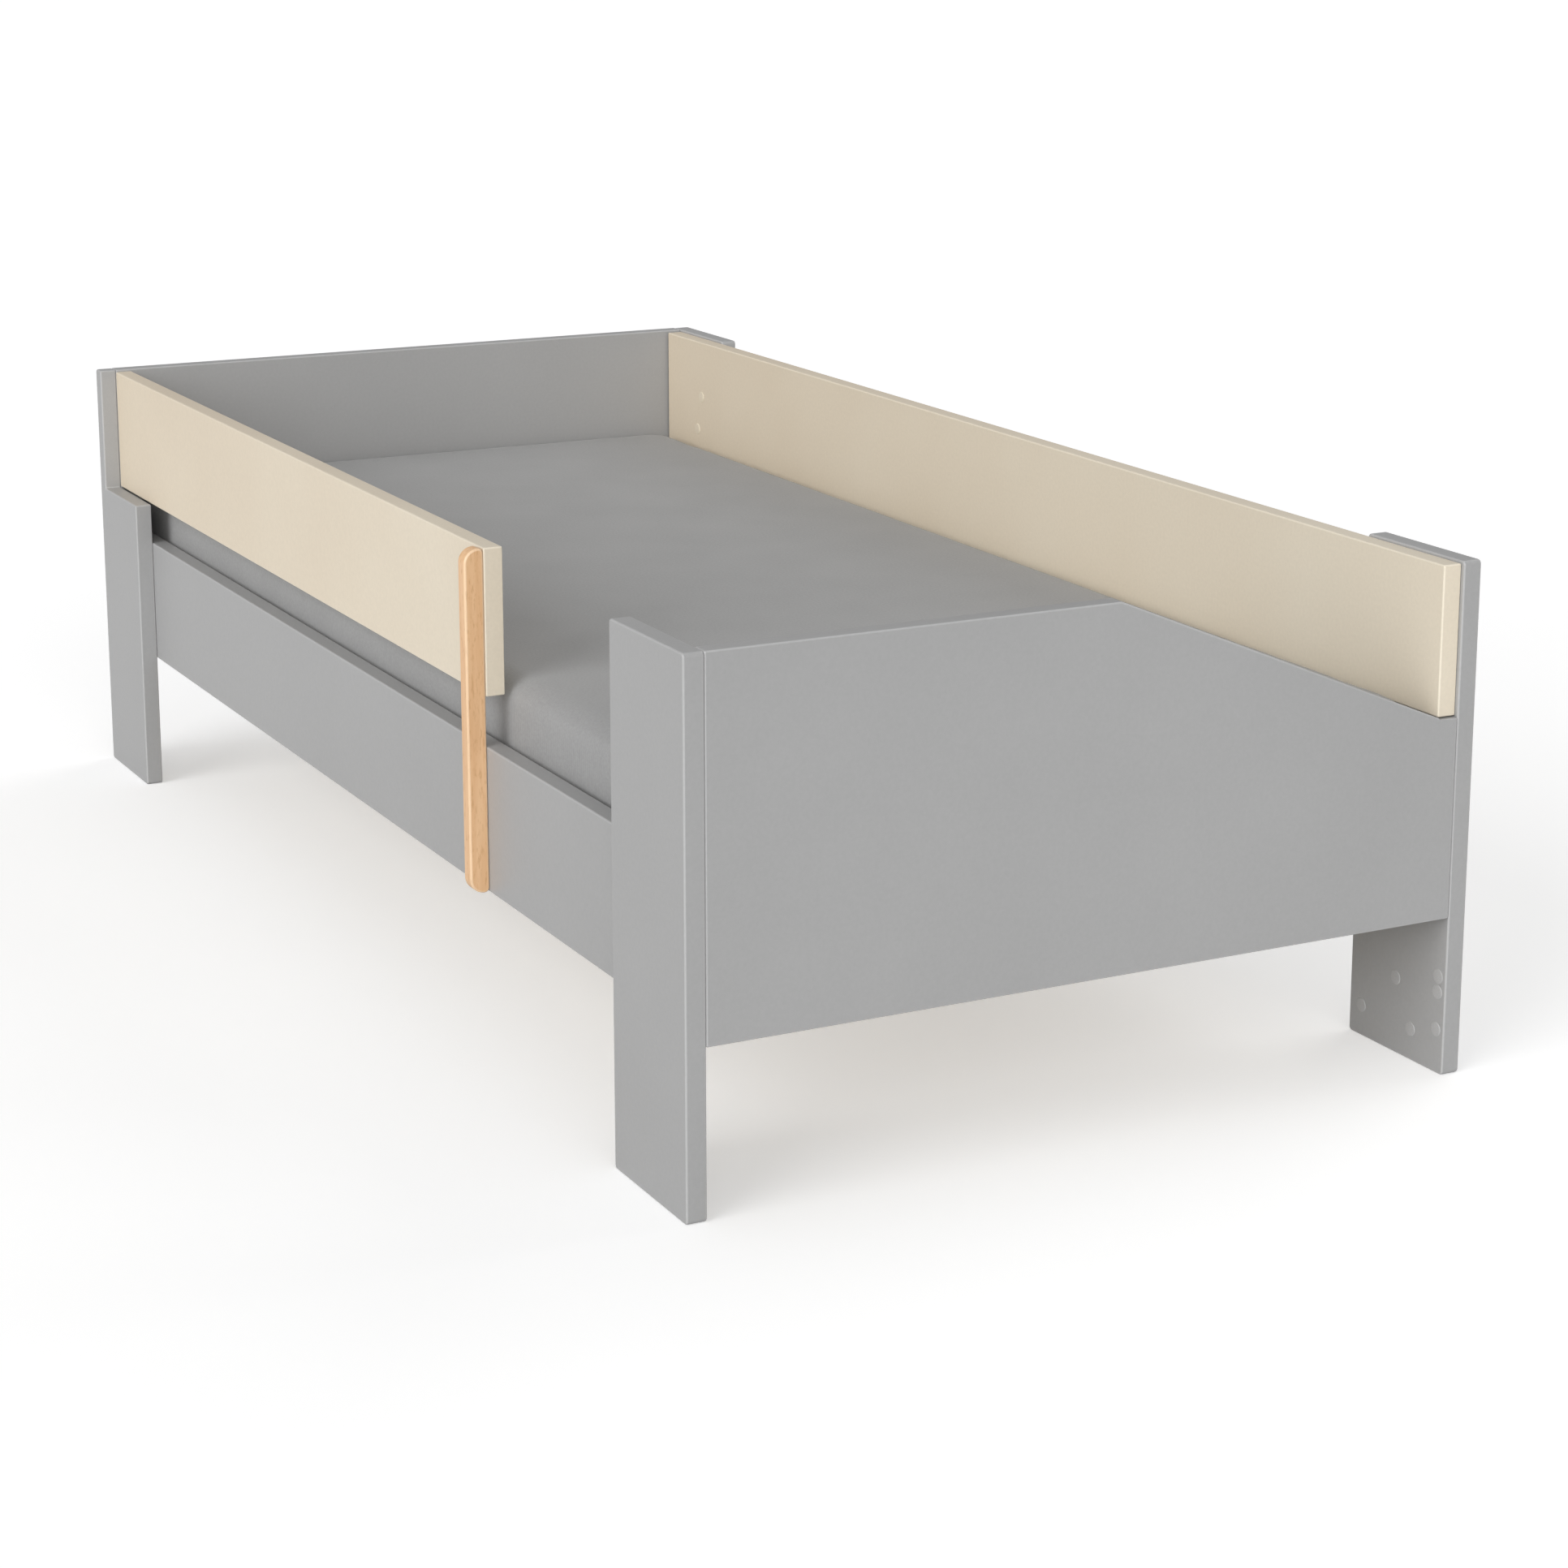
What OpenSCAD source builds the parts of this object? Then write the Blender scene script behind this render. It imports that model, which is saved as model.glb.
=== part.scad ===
// Toddler bed: plank legs, board ends and sides, one long and one short guard rail,
// a loose slatted base and a foam mattress in a fitted sheet.
// X runs from the head (-) to the foot (+), -Y is the open side, +Z is up.
// The origin is on the floor, in the middle of the four legs.

/* [Mattress] */
// Length of the mattress in its sheet
mattress_l = 1600; // [1200:5:2000]
// Width of the mattress in its sheet
mattress_w = 700; // [550:5:900]
// Height of the mattress in its sheet
mattress_h = 110; // [70:1:160]
// Radius of the mattress's upright corners
mattress_r = 30; // [15:1:60]
// Gap between the mattress and each end panel
end_gap = 5; // [2:0.5:15]
// Gap between the mattress and each side panel
side_gap = 7; // [3:0.5:15]
// Thickness of the fitted sheet
sheet_t = 1; // [0.6:0.1:2]
// Thickness of the quilted cover
cover_t = 2; // [1:0.5:4]
// Width of the hem that the sheet turns under the mattress
sheet_hem = 90; // [40:5:150]

/* [Boards] */
// Thickness of every lacquered board
board_t = 19; // [16:1:25]
// Height of the legs
bed_h = 485; // [420:1:620]
// Width of a leg plank
leg_w = 143; // [135:1:200]
// Radius of the leg planks' corners
leg_r = 4; // [1:0.5:8]
// Height of the end panels' lower edge above the floor
end_z = 152; // [120:1:190]
// Height of the side panels' lower edge above the floor
side_z = 155; // [140:1:200]
// Height of a side panel
side_h = 140; // [125:1:170]
// Length of the sloping shoulder on the foot panel, across the bed
shoulder_run = 340; // [100:5:500]
// How far the shoulder falls along that run
shoulder_drop = 142; // [20:1:145]

/* [Guard rails] */
// Height of a guard rail board
rail_h = 140; // [110:1:150]
// How far the rails' upper edge stays below the legs' upper edge
rail_drop = 2.5; // [0:0.5:10]
// Distance from the head end of the bed to the short rail's free end
rail_reach = 1185; // [700:5:1300]
// Gap between the long rail's head end and the head panel
rail_end_gap = 3; // [1:0.5:6]
// How far the long rail stops short of the foot panel's outer face
rail_inset = 4; // [0:0.5:10]
// Width of the beech strip, along the bed
strip_w = 16; // [12:1:30]
// Depth of the beech strip, across the bed
strip_d = 19; // [15:1:19]
// Radius at the strip's ends, on its outer corner
strip_r = 14; // [6:1:14]

/* [Slatted base] */
// Number of slats
slat_n = 14; // [8:1:16]
// Width of a slat
slat_w = 70; // [50:1:80]
// Thickness of a slat
slat_t = 12; // [9:0.5:18]
// Height of the slats' upper face above the floor
slat_top = 240; // [235:1:260]
// Gap between the end of a slat and the side panel
slat_gap = 5; // [3:0.5:8]
// Side of the square ledger that carries the slats
ledger_s = 28; // [20:1:30]
// Width of the webbing tape that spaces the slats
tape_w = 30; // [20:1:40]
// Thickness of the webbing tape
tape_t = 1.2; // [0.8:0.1:2]

/* [Fasteners] */
// Diameter of the M6 bolt shank
bolt_d = 6; // [5:0.5:8]
// Diameter of the bolt's head
head_d = 11; // [9:0.5:12]
// Height of the bolt's head
head_h = 4; // [3:0.5:5]
// Depth of the counterbore that hides a bolt's head
sink_h = 8; // [7:0.5:9]
// Outer diameter of the threaded insert in a leg
insert_d = 10; // [9:0.5:12]
// Length of the threaded insert
insert_l = 13; // [10:0.5:14]
// Diameter of a cover cap's visible disc
cap_d = 14; // [13.5:0.5:16]
// Height of a cover cap's disc above the board
cap_h = 0.8; // [0.5:0.1:1.5]
// Diameter of the cam that pulls an end panel to a leg
cam_d = 15; // [13:1:18]
// Depth of the cam in the panel
cam_h = 13; // [11:0.5:14]
// Distance from the panel's end to the cam's centre
cam_x = 34; // [24:1:34]
// Diameter of a beech dowel
dowel_d = 8; // [6:1:10]
// Length of a beech dowel
dowel_l = 32; // [25:1:40]
// Diameter of a wood screw's shank
screw_d = 4; // [3:0.5:4.5]
// Diameter of a wood screw's head
screw_head_d = 8.5; // [7:0.5:9]

/* [Hidden] */
$fn = 48;
// Play round a round piece in its bore
play = 0.05;
// Gap between bodies that lift apart
rest_gap = 0.3;
// Allowance by which a cut runs past the face it opens
cut = 1;

bed_l = mattress_l + 2 * end_gap + 2 * board_t;
bed_w = mattress_w + 2 * side_gap + 4 * board_t;
leg_in_y = bed_w / 2 - board_t;
side_in_y = leg_in_y - board_t;
end_in_x = bed_l / 2 - board_t;
end_mid_x = bed_l / 2 - board_t / 2;
end_h = bed_h - end_z;
rail_z = bed_h - rail_drop - rail_h;
rail_free_x = rail_reach - bed_l / 2;

// The foot panel is notched where the long rail runs over it
notch_gap = 1;
notch_y = side_in_y - notch_gap;
notch_z = rail_z - notch_gap;

// The open side's head leg is cut away in front of the short rail, down to the same height,
// and keeps a post that covers the head panel's end
post_w = board_t;
// Depth of the screws in the short rail's head end
end_screw_in = 36;

// Bolts of a side panel, from the leg's free end edge and from the panel's lower edge
side_bolt_x = leg_w / 2;
side_bolt_z = 30;
// Bolts or screws of the long rail, as [distance from the end of the bed, height over its edge]
rail_bolts = [[leg_w - 22, rail_h / 2], [leg_w - 34, rail_h / 2 - 43]];
// Plugged holes in a leg for the low setting, as [distance from the leg's end edge, height]
spare_holes = [[11.5, 93], [11.5, 78], [11.5, 42], [49, 30], [74, 73], [leg_w - 18, 30]];
spare_hole_h = 11;
hole_d = head_d + 1.5;
bolt_hole_d = bolt_d + 0.5;
plug_h = 3;

// Cams and dowels along an end panel's upright edge, above its lower edge
cam_zs = [38, 168];
dowel_zs = [78, 128];
stud_d = 7;
stud_thread_d = 5;
stud_thread_l = 11;
dowel_in_leg = 12;

strip_in_r = 5;
strip_out_r = min(strip_r, strip_d - strip_in_r);
strip_screw_in = 35;
screw_sink_h = 4;
screw_head_h = 3;
// Wood left between a screw's tip and the face behind it
screw_tip_gap = 3;

slat_l = 2 * (side_in_y - slat_gap);
slat_first_x = -end_in_x + slat_gap + slat_w / 2;
slat_pitch = -2 * slat_first_x / (slat_n - 1);
tape_y = side_in_y - ledger_s - tape_w;
ledger_z = slat_top - slat_t - ledger_s - rest_gap;
ledger_l = 2 * (end_in_x - end_gap);
ledger_screw_n = 6;
ledger_screw_in = 80;
ledger_screw_pitch = (ledger_l - 2 * ledger_screw_in) / (ledger_screw_n - 1);

mattress_z = slat_top + rest_gap;
// Height of the zip seam, where the cover's two halves meet
seam_h = 30;
// Least corner radius of the sheet's opening under the mattress
corner_min_r = 10;

lacquer_grey = "#a9a9aa";
lacquer_cream = "#ded6c2";
beech = "#e0b282";
birch = "#e6cfa6";
steel = "#b9bcc0";
brass_tone = "#c9b06a";
sheet_grey = "#9c9c9d";
ticking = "#f2f0ea";
foam = "#f3e7b8";
webbing = "#efe9dc";

LEGS = [["leg_head_front", -1, -1], ["leg_head_rear", -1, 1],
        ["leg_foot_front", 1, -1], ["leg_foot_rear", 1, 1]];
SLATS = [for (i = [1 : slat_n]) str("slat_", i < 10 ? "0" : "", i)];

// ---- shapes that repeat ----

// Rectangle with round corners, centred
module round_rect(l, w, r) {
    square([l - 2 * r, w], center = true);
    square([l, w - 2 * r], center = true);
    for (sx = [-1, 1], sy = [-1, 1])
        translate([sx * (l / 2 - r), sy * (w / 2 - r)]) circle(r);
}

// Block with round upright corners, centred, standing on z
module round_block(l, w, h, r, z) {
    translate([0, 0, z]) linear_extrude(h) round_rect(l, w, r);
}

// A cylinder whose ends are given along its own axis
module rod(d, from, to) {
    translate([0, 0, from]) cylinder(h = to - from, d = d);
}

// Places a child on the inner face of the boards at one side, its +Z into the bed
module inside(side, x, z, y = side_in_y) {
    translate([x, side * y, z]) rotate([side * 90, 0, 0]) children();
}

// Places a child at an end panel's upright edge, its +Z into the panel
module panel_edge(end, side, z) {
    translate([end * end_mid_x, side * leg_in_y, end_z + z]) rotate([side * 90, 0, 0]) children();
}

// Places a child in the middle of a cam, its +Z out of the panel's inner face
module cam_place(end, side, z) {
    translate([end * end_in_x, side * (leg_in_y - cam_x), end_z + z])
        rotate([0, -end * 90, 0]) children();
}

// ---- where the fasteners are ----

module at_side_bolts(ends = [-1, 1], sides = [-1, 1]) {
    for (e = ends, s = sides, z = [side_bolt_z, side_h - side_bolt_z])
        inside(s, e * (bed_l / 2 - side_bolt_x), side_z + z) children();
}

// The long rail is bolted from inside to the leg at its head end
module at_rail_bolts() {
    for (b = rail_bolts) inside(1, b[0] - bed_l / 2, rail_z + b[1]) children();
}

// The long rail's foot end is screwed on from the leg's outer face
module at_rail_screws() {
    for (b = rail_bolts)
        translate([bed_l / 2 - b[0], bed_w / 2, rail_z + b[1]]) rotate([-90, 0, 0]) children();
}

// The short rail's head end is screwed on through the head panel
module at_rail_end_screws() {
    for (z = [rail_h / 4, 3 * rail_h / 4])
        translate([-bed_l / 2, -leg_in_y + board_t / 2, rail_z + z])
            rotate([0, -90, 0]) children();
}

module at_spare_holes(ends = [-1, 1], sides = [-1, 1]) {
    for (e = ends, s = sides, h = spare_holes)
        inside(s, e * (bed_l / 2 - h[0]), h[1], leg_in_y) children();
}

module at_cams(ends = [-1, 1], sides = [-1, 1]) {
    for (e = ends, s = sides, z = cam_zs) cam_place(e, s, z) children();
}

module at_panel_edges(zs, ends = [-1, 1], sides = [-1, 1]) {
    for (e = ends, s = sides, z = zs) panel_edge(e, s, z) children();
}

module at_strip_screws() {
    for (z = [side_z + strip_screw_in, side_z + side_h - strip_screw_in,
              rail_z + strip_screw_in, rail_z + rail_h - strip_screw_in])
        inside(-1, rail_free_x - strip_w / 2, z) children();
}

module at_ledger_screws(sides = [-1, 1]) {
    for (s = sides, i = [0 : ledger_screw_n - 1])
        inside(s, -ledger_l / 2 + ledger_screw_in + i * ledger_screw_pitch,
               ledger_z + ledger_s / 2, side_in_y - ledger_s) children();
}

// ---- bores ----

module bolt_bore() {
    rod(hole_d, -sink_h, cut);
    rod(bolt_hole_d, -board_t - cut, -sink_h + cut);
}

module screw_bore() {
    rod(screw_head_d + 1, -screw_sink_h, cut);
    rod(screw_d + 0.5, -board_t - cut, -screw_sink_h + cut);
}

// The bore in the second of two pieces that a screw joins, both together this thick
module screw_pilot(first, both) {
    rod(screw_d, screw_tip_gap - both - cut, -first + cut);
}

// ---- frame ----

module leg(end, side) {
    color(lacquer_grey) difference() {
        translate([end * (bed_l - leg_w) / 2, side * (bed_w / 2 - board_t / 2), bed_h / 2])
            rotate([90, 0, 0])
                linear_extrude(board_t, center = true) round_rect(leg_w, bed_h, leg_r);
        at_side_bolts([end], [side]) rod(insert_d, -board_t - insert_l - cut, -board_t + cut);
        if (end < 0 && side > 0) at_rail_bolts()
            rod(insert_d, -board_t - insert_l - cut, -board_t + cut);
        if (end < 0 && side < 0)
            translate([post_w - bed_l / 2, -bed_w / 2 - cut, notch_z])
                cube([leg_w, board_t + 2 * cut, bed_h]);
        if (end > 0 && side > 0) at_rail_screws() screw_bore();
        at_spare_holes([end], [side]) rod(hole_d, -spare_hole_h, cut);
        at_panel_edges(cam_zs, [end], [side]) rod(stud_thread_d, -stud_thread_l - cut, cut);
        at_panel_edges(dowel_zs, [end], [side]) rod(dowel_d, -dowel_in_leg - cut, cut);
    }
}

// An end panel stands between two legs, its ends against their inner faces
module end_panel(end) {
    color(lacquer_grey) difference() {
        translate([end * end_mid_x, 0, 0]) rotate([90, 0, 90])
            linear_extrude(board_t, center = true) children();
        at_cams([end]) rod(cam_d, -cam_h - cut / 2, cut);
        if (end < 0) at_rail_end_screws() screw_bore();
        at_panel_edges(cam_zs, [end]) rod(stud_d, -cut, cam_x);
        at_panel_edges(dowel_zs, [end]) rod(dowel_d, -cut, dowel_l - dowel_in_leg + cut);
    }
}

module head_panel() {
    end_panel(-1) translate([-leg_in_y, end_z]) square([2 * leg_in_y, end_h]);
}

// The foot panel's upper edge slopes down to the long rail and is notched under its end
module foot_panel() {
    end_panel(1) polygon([
        [-leg_in_y, end_z], [leg_in_y, end_z], [leg_in_y, notch_z], [notch_y, notch_z],
        [notch_y, max(bed_h - shoulder_drop, notch_z)],
        [notch_y - shoulder_run, bed_h], [-leg_in_y, bed_h]]);
}

module side_panel(side) {
    color(lacquer_grey) difference() {
        translate([-end_in_x, side > 0 ? side_in_y : -leg_in_y, side_z])
            cube([2 * end_in_x, board_t, side_h]);
        at_side_bolts([-1, 1], [side]) bolt_bore();
        at_ledger_screws([side]) screw_pilot(ledger_s, ledger_s + board_t);
        if (side < 0) at_strip_screws() screw_bore();
    }
}

module guard_rail_front() {
    color(lacquer_cream) difference() {
        translate([-end_in_x, -leg_in_y, rail_z]) cube([rail_free_x + end_in_x, board_t, rail_h]);
        at_rail_end_screws() screw_pilot(board_t, board_t + end_screw_in);
        at_strip_screws() screw_bore();
    }
}

module guard_rail_rear() {
    rail_x = -end_in_x + rail_end_gap;
    color(lacquer_cream) difference() {
        translate([rail_x, side_in_y, rail_z])
            cube([bed_l / 2 - rail_inset - rail_x, board_t, rail_h]);
        at_rail_bolts() bolt_bore();
        at_rail_screws() screw_pilot(board_t, 2 * board_t);
    }
}

// What a round corner of radius r takes off a square one at the origin
module corner_cut(r) {
    difference() {
        translate([-cut, -cut]) square(r + cut);
        translate([r, r]) circle(r);
    }
}

// The strip's outline in the upright plane across the bed, its outer corners the rounder ones
module strip_outline(h) {
    difference() {
        square([strip_d, h]);
        for (top = [0, 1]) translate([0, top * h]) mirror([0, top]) {
            corner_cut(strip_out_r);
            translate([strip_d, 0]) mirror([1, 0]) corner_cut(strip_in_r);
        }
    }
}

module rail_support_strip() {
    color(beech) difference() {
        translate([rail_free_x - strip_w, -leg_in_y - strip_d, side_z])
            rotate([90, 0, 90]) linear_extrude(strip_w)
                strip_outline(rail_z + rail_h - side_z);
        at_strip_screws() screw_pilot(board_t, board_t + strip_d);
    }
}

module ledger(side) {
    color(birch) difference() {
        translate([-ledger_l / 2, side > 0 ? side_in_y - ledger_s : -side_in_y, ledger_z])
            cube([ledger_l, ledger_s, ledger_s]);
        at_ledger_screws([side]) rod(screw_head_d + 1, -screw_sink_h, cut);
        at_ledger_screws([side]) rod(screw_d + 0.5, -ledger_s - cut, -screw_sink_h + cut);
    }
}

// ---- slatted base ----

module slat(i) {
    slat_x = slat_first_x + i * slat_pitch - slat_w / 2;
    color(birch) translate([slat_x, -slat_l / 2, slat_top - slat_t]) cube([slat_w, slat_l, slat_t]);
}

module slat_tapes() {
    color(webbing) for (s = [-1, 1])
        translate([slat_first_x - slat_w / 2, s * tape_y - tape_w / 2, slat_top - slat_t - tape_t])
            cube([slat_w - 2 * slat_first_x, tape_w, tape_t]);
}

// ---- mattress ----

// A layer's outer block, set in from the sheet's outside by the thickness of what covers it
module layer(inset, from, to) {
    round_block(mattress_l - 2 * inset, mattress_w - 2 * inset, to - from,
                max(mattress_r - inset, corner_min_r), mattress_z + from);
}

module mattress_core() {
    skin = sheet_t + cover_t;
    color(foam) layer(skin, skin, mattress_h - skin);
}

module cover_half(from, to, open_from, open_to) {
    color(ticking) difference() {
        layer(sheet_t, from, to);
        layer(sheet_t + cover_t, open_from, open_to);
    }
}

module cover_top() {
    cover_half(seam_h, mattress_h - sheet_t, seam_h - cut, mattress_h - sheet_t - cover_t);
}

module cover_base() {
    cover_half(sheet_t, seam_h, sheet_t + cover_t, seam_h + cut);
}

module fitted_sheet() {
    color(sheet_grey) difference() {
        layer(0, 0, mattress_h);
        layer(sheet_t, sheet_t, mattress_h - sheet_t);
        layer(sheet_hem, -cut, sheet_t + cut);
    }
}

// ---- fasteners ----

module m6_bolt() {
    rod(head_d, -sink_h, -sink_h + head_h);
    rod(bolt_d, -board_t - insert_l, -sink_h + head_h / 2);
}

// A screw through one piece into the next, both together this thick
module wood_screw(both) {
    rod(screw_head_d, -screw_sink_h, -screw_sink_h + screw_head_h);
    rod(screw_d - 2 * play, screw_tip_gap - both, -screw_sink_h + screw_head_h / 2);
}

module cover_cap() {
    rod(cap_d, 0, cap_h);
    rod(hole_d - 2 * play, -plug_h, cap_h / 2);
}

module side_bolts() {
    color(steel) at_side_bolts() m6_bolt();
}

module rail_bolts_m6() {
    color(steel) at_rail_bolts() m6_bolt();
}

module insert() {
    difference() {
        rod(insert_d - 2 * play, -board_t - insert_l, -board_t);
        rod(bolt_d + 2 * play, -board_t - insert_l - cut, -board_t + cut);
    }
}

module leg_inserts() {
    color(brass_tone) {
        at_side_bolts() insert();
        at_rail_bolts() insert();
    }
}

// Each cam is a disc with a cross slot, and a bore that takes the stud's end
module cam_locks() {
    stud_end = cam_x - stud_d / 2;
    color(steel) difference() {
        at_cams() difference() {
            rod(cam_d - 2 * play, -cam_h, 0);
            for (a = [0, 90]) rotate([0, 0, a])
                translate([-cam_d / 4, -1, -2]) cube([cam_d / 2, 2, 2 + cut]);
        }
        at_panel_edges(cam_zs) rod(stud_d + 2 * play, 0, stud_end + cut);
    }
}

module cam_studs() {
    color(steel) at_panel_edges(cam_zs) {
        rod(stud_thread_d - 2 * play, -stud_thread_l, cut);
        rod(stud_d - 4 * play, 0, cam_x - stud_d / 2);
    }
}

module end_dowels() {
    color(beech) at_panel_edges(dowel_zs)
        rod(dowel_d - 2 * play, -dowel_in_leg, dowel_l - dowel_in_leg);
}

module rail_screws() {
    color(steel) {
        at_rail_screws() wood_screw(2 * board_t);
        at_rail_end_screws() wood_screw(board_t + end_screw_in);
    }
}

module strip_screws() {
    color(steel) at_strip_screws() wood_screw(board_t + strip_d);
}

module ledger_screws() {
    color(steel) at_ledger_screws() wood_screw(ledger_s + board_t);
}

module side_caps() {
    color(lacquer_grey) at_side_bolts() cover_cap();
}

module rail_caps() {
    color(lacquer_cream) at_rail_bolts() cover_cap();
}

module spare_hole_plugs() {
    color(lacquer_grey) at_spare_holes() cover_cap();
}

// ---- the bed ----

for (l = LEGS) leg(l[1], l[2]);
head_panel();
foot_panel();
side_panel(-1);  // side_panel_front
side_panel(1);  // side_panel_rear
guard_rail_front();
guard_rail_rear();
rail_support_strip();
ledger(-1);  // ledger_front
ledger(1);  // ledger_rear
for (i = [0 : slat_n - 1]) slat(i);
slat_tapes();
mattress_core();
cover_top();
cover_base();
fitted_sheet();
side_bolts();
rail_bolts_m6();
leg_inserts();
cam_locks();
cam_studs();
end_dowels();
rail_screws();
strip_screws();
ledger_screws();
side_caps();
rail_caps();
spare_hole_plugs();
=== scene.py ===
# %% [markdown]
# # A toddler bed
# The bed is a low box of lacquered boards on four plank legs. A long guard rail runs along the
# wall side, a short one stands on the open side, and an upright beech strip holds its free end.
# Inside lie a slatted base and a foam mattress in a grey jersey sheet.
#
# The boards come from a CAD model that is loaded as a frame. The lesson gives them soft edges and
# real finishes, and makes what is cloth: the sheet, the mattress and the tapes under the slats.

import math

import bmesh
import bpy
import numpy as np
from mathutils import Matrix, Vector
from mathutils.bvhtree import BVHTree


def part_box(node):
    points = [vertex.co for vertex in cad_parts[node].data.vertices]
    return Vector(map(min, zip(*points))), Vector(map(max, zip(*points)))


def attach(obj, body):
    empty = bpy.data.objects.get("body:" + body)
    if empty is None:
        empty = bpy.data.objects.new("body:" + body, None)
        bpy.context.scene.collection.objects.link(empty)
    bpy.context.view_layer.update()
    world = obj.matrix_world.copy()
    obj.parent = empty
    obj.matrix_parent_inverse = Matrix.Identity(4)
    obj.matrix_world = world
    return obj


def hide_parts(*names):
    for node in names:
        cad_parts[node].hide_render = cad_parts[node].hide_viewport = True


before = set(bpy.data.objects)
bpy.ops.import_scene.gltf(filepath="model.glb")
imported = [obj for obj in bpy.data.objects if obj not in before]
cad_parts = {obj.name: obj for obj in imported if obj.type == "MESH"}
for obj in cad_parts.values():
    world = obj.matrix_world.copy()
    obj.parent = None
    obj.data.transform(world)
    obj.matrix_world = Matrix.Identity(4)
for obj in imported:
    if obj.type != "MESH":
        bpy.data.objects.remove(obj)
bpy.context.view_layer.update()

# %% [markdown]
# ## Camera, floor and light
# The camera looks from the foot end through a long lens, from above the rails. A small shift of the
# lens takes the place of some of its tilt, so upright edges lean only a little. Two very wide sun
# lamps stand in front and at the foot: they light the faces that look this way. A weaker one behind
# keeps the wall side from going dark. A sun lamp lights the whole floor evenly, so there is no
# bright pool round the bed.

# %% Camera
CAMERA_PLACE = (3.221, -1.530, 1.1235)
CAMERA_AZIMUTH = 62.93
CAMERA_ELEVATION = 13.1
CAMERA_LENS = 79.1
CAMERA_SHIFT = -0.10


def away_from(azimuth, elevation):
    """The direction from the bed to a viewer at these angles, in degrees."""
    a, e = math.radians(azimuth), math.radians(elevation)
    return Vector((math.sin(a) * math.cos(e), -math.cos(a) * math.cos(e), math.sin(e)))


camera = bpy.data.objects.new("camera", bpy.data.cameras.new("camera"))
camera.data.lens = CAMERA_LENS
camera.data.shift_y = CAMERA_SHIFT
camera.data.clip_end = 50
camera.location = CAMERA_PLACE
camera.rotation_euler = away_from(CAMERA_AZIMUTH, CAMERA_ELEVATION).to_track_quat("Z", "Y").to_euler()
bpy.context.scene.collection.objects.link(camera)
bpy.context.scene.camera = camera
print("camera with a", CAMERA_LENS, "mm lens")

# %% Soft lamps: name, azimuth and height of the light in degrees, strength in watts a square metre
LAMPS = [
    ("key", 20, 24, 1.75),
    ("foot_fill", 75, 18, 1.20),
    ("wall_fill", 195, 35, 0.70),
]
LAMP_WIDE = 45

for name, azimuth, elevation, strength in LAMPS:
    lamp = bpy.data.objects.new(name, bpy.data.lights.new(name, "SUN"))
    lamp.data.energy = strength
    lamp.data.angle = math.radians(LAMP_WIDE)
    lamp.rotation_euler = away_from(azimuth, elevation).to_track_quat("Z", "Y").to_euler()
    bpy.context.scene.collection.objects.link(lamp)
print(len(LAMPS), "soft lamps")

# %% [markdown]
# ## Colour and nodes
# Finishes are written as the hex colours a paint card gives. Those are sRGB numbers, and a shader
# wants linear light, so one function turns them. One helper adds any node, sets it and links it,
# and serves both the shader trees and the Geometry Nodes trees.


# %% Colour, pattern size and node helpers
def linear(code):
    """A hex sRGB colour as the linear RGBA that shaders take."""
    parts = [int(code[i : i + 2], 16) / 255 for i in (1, 3, 5)]
    return (*[c / 12.92 if c <= 0.04045 else ((c + 0.055) / 1.055) ** 2.4 for c in parts], 1.0)


def per_mm(size):
    """The texture scale whose pattern is this many millimetres wide in Object coordinates."""
    return 1000.0 / size


def add_node(tree, kind, inputs=None, **settings):
    """Adds a node, sets its properties, and sets or links its inputs by name or number."""
    node = tree.nodes.new(kind)
    for key, value in settings.items():
        setattr(node, key, value)
    for key, value in (inputs or {}).items():
        if isinstance(value, bpy.types.NodeSocket):
            tree.links.new(value, node.inputs[key])
        else:
            node.inputs[key].default_value = value
    return node


def new_finish(name, colour, roughness, **shader_inputs):
    """A material with one Principled shader: itself, its tree, the shader, Object coordinates."""
    material = bpy.data.materials.new(name)
    material.use_nodes = True
    tree = material.node_tree
    tree.nodes.clear()
    values = {"Base Color": linear(colour), "Roughness": roughness}
    values.update({key.replace("_", " "): value for key, value in shader_inputs.items()})
    shader = add_node(tree, "ShaderNodeBsdfPrincipled", values)
    add_node(tree, "ShaderNodeOutputMaterial", {"Surface": shader.outputs[0]})
    place = add_node(tree, "ShaderNodeTexCoord").outputs["Object"]
    return material, tree, shader, place


# The numbers of the colour sockets of a Mix node that mixes colours
MIX_A, MIX_B, MIX_RESULT = 6, 7, 2


def blend_colours(tree, factor, low, high, first, second):
    """Links a factor that runs from low to high to a mix of two hex colours."""
    spread = add_node(
        tree, "ShaderNodeMapRange", {"Value": factor, "From Min": low, "From Max": high}
    )
    mix = add_node(
        tree,
        "ShaderNodeMix",
        {"Factor": spread.outputs[0], MIX_A: linear(first), MIX_B: linear(second)},
        data_type="RGBA",
    )
    return mix.outputs[MIX_RESULT]


# %% [markdown]
# ## Floor and world
# The floor is a matt pale sheet that is lit from below as well, as a light table is. What the
# camera sees of it is nearly white, yet it throws little light back up under the rails, so the
# boards inside the bed stay as light as those outside. The world meets it in the same white.

# %% Floor and world
FLOOR_SIZE = 60.0
FLOOR_CLOUD_MM = 900
FLOOR_BACKLIGHT = 0.50
WORLD_LIGHT = 0.36
WORLD_SEEN = 1.0

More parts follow.
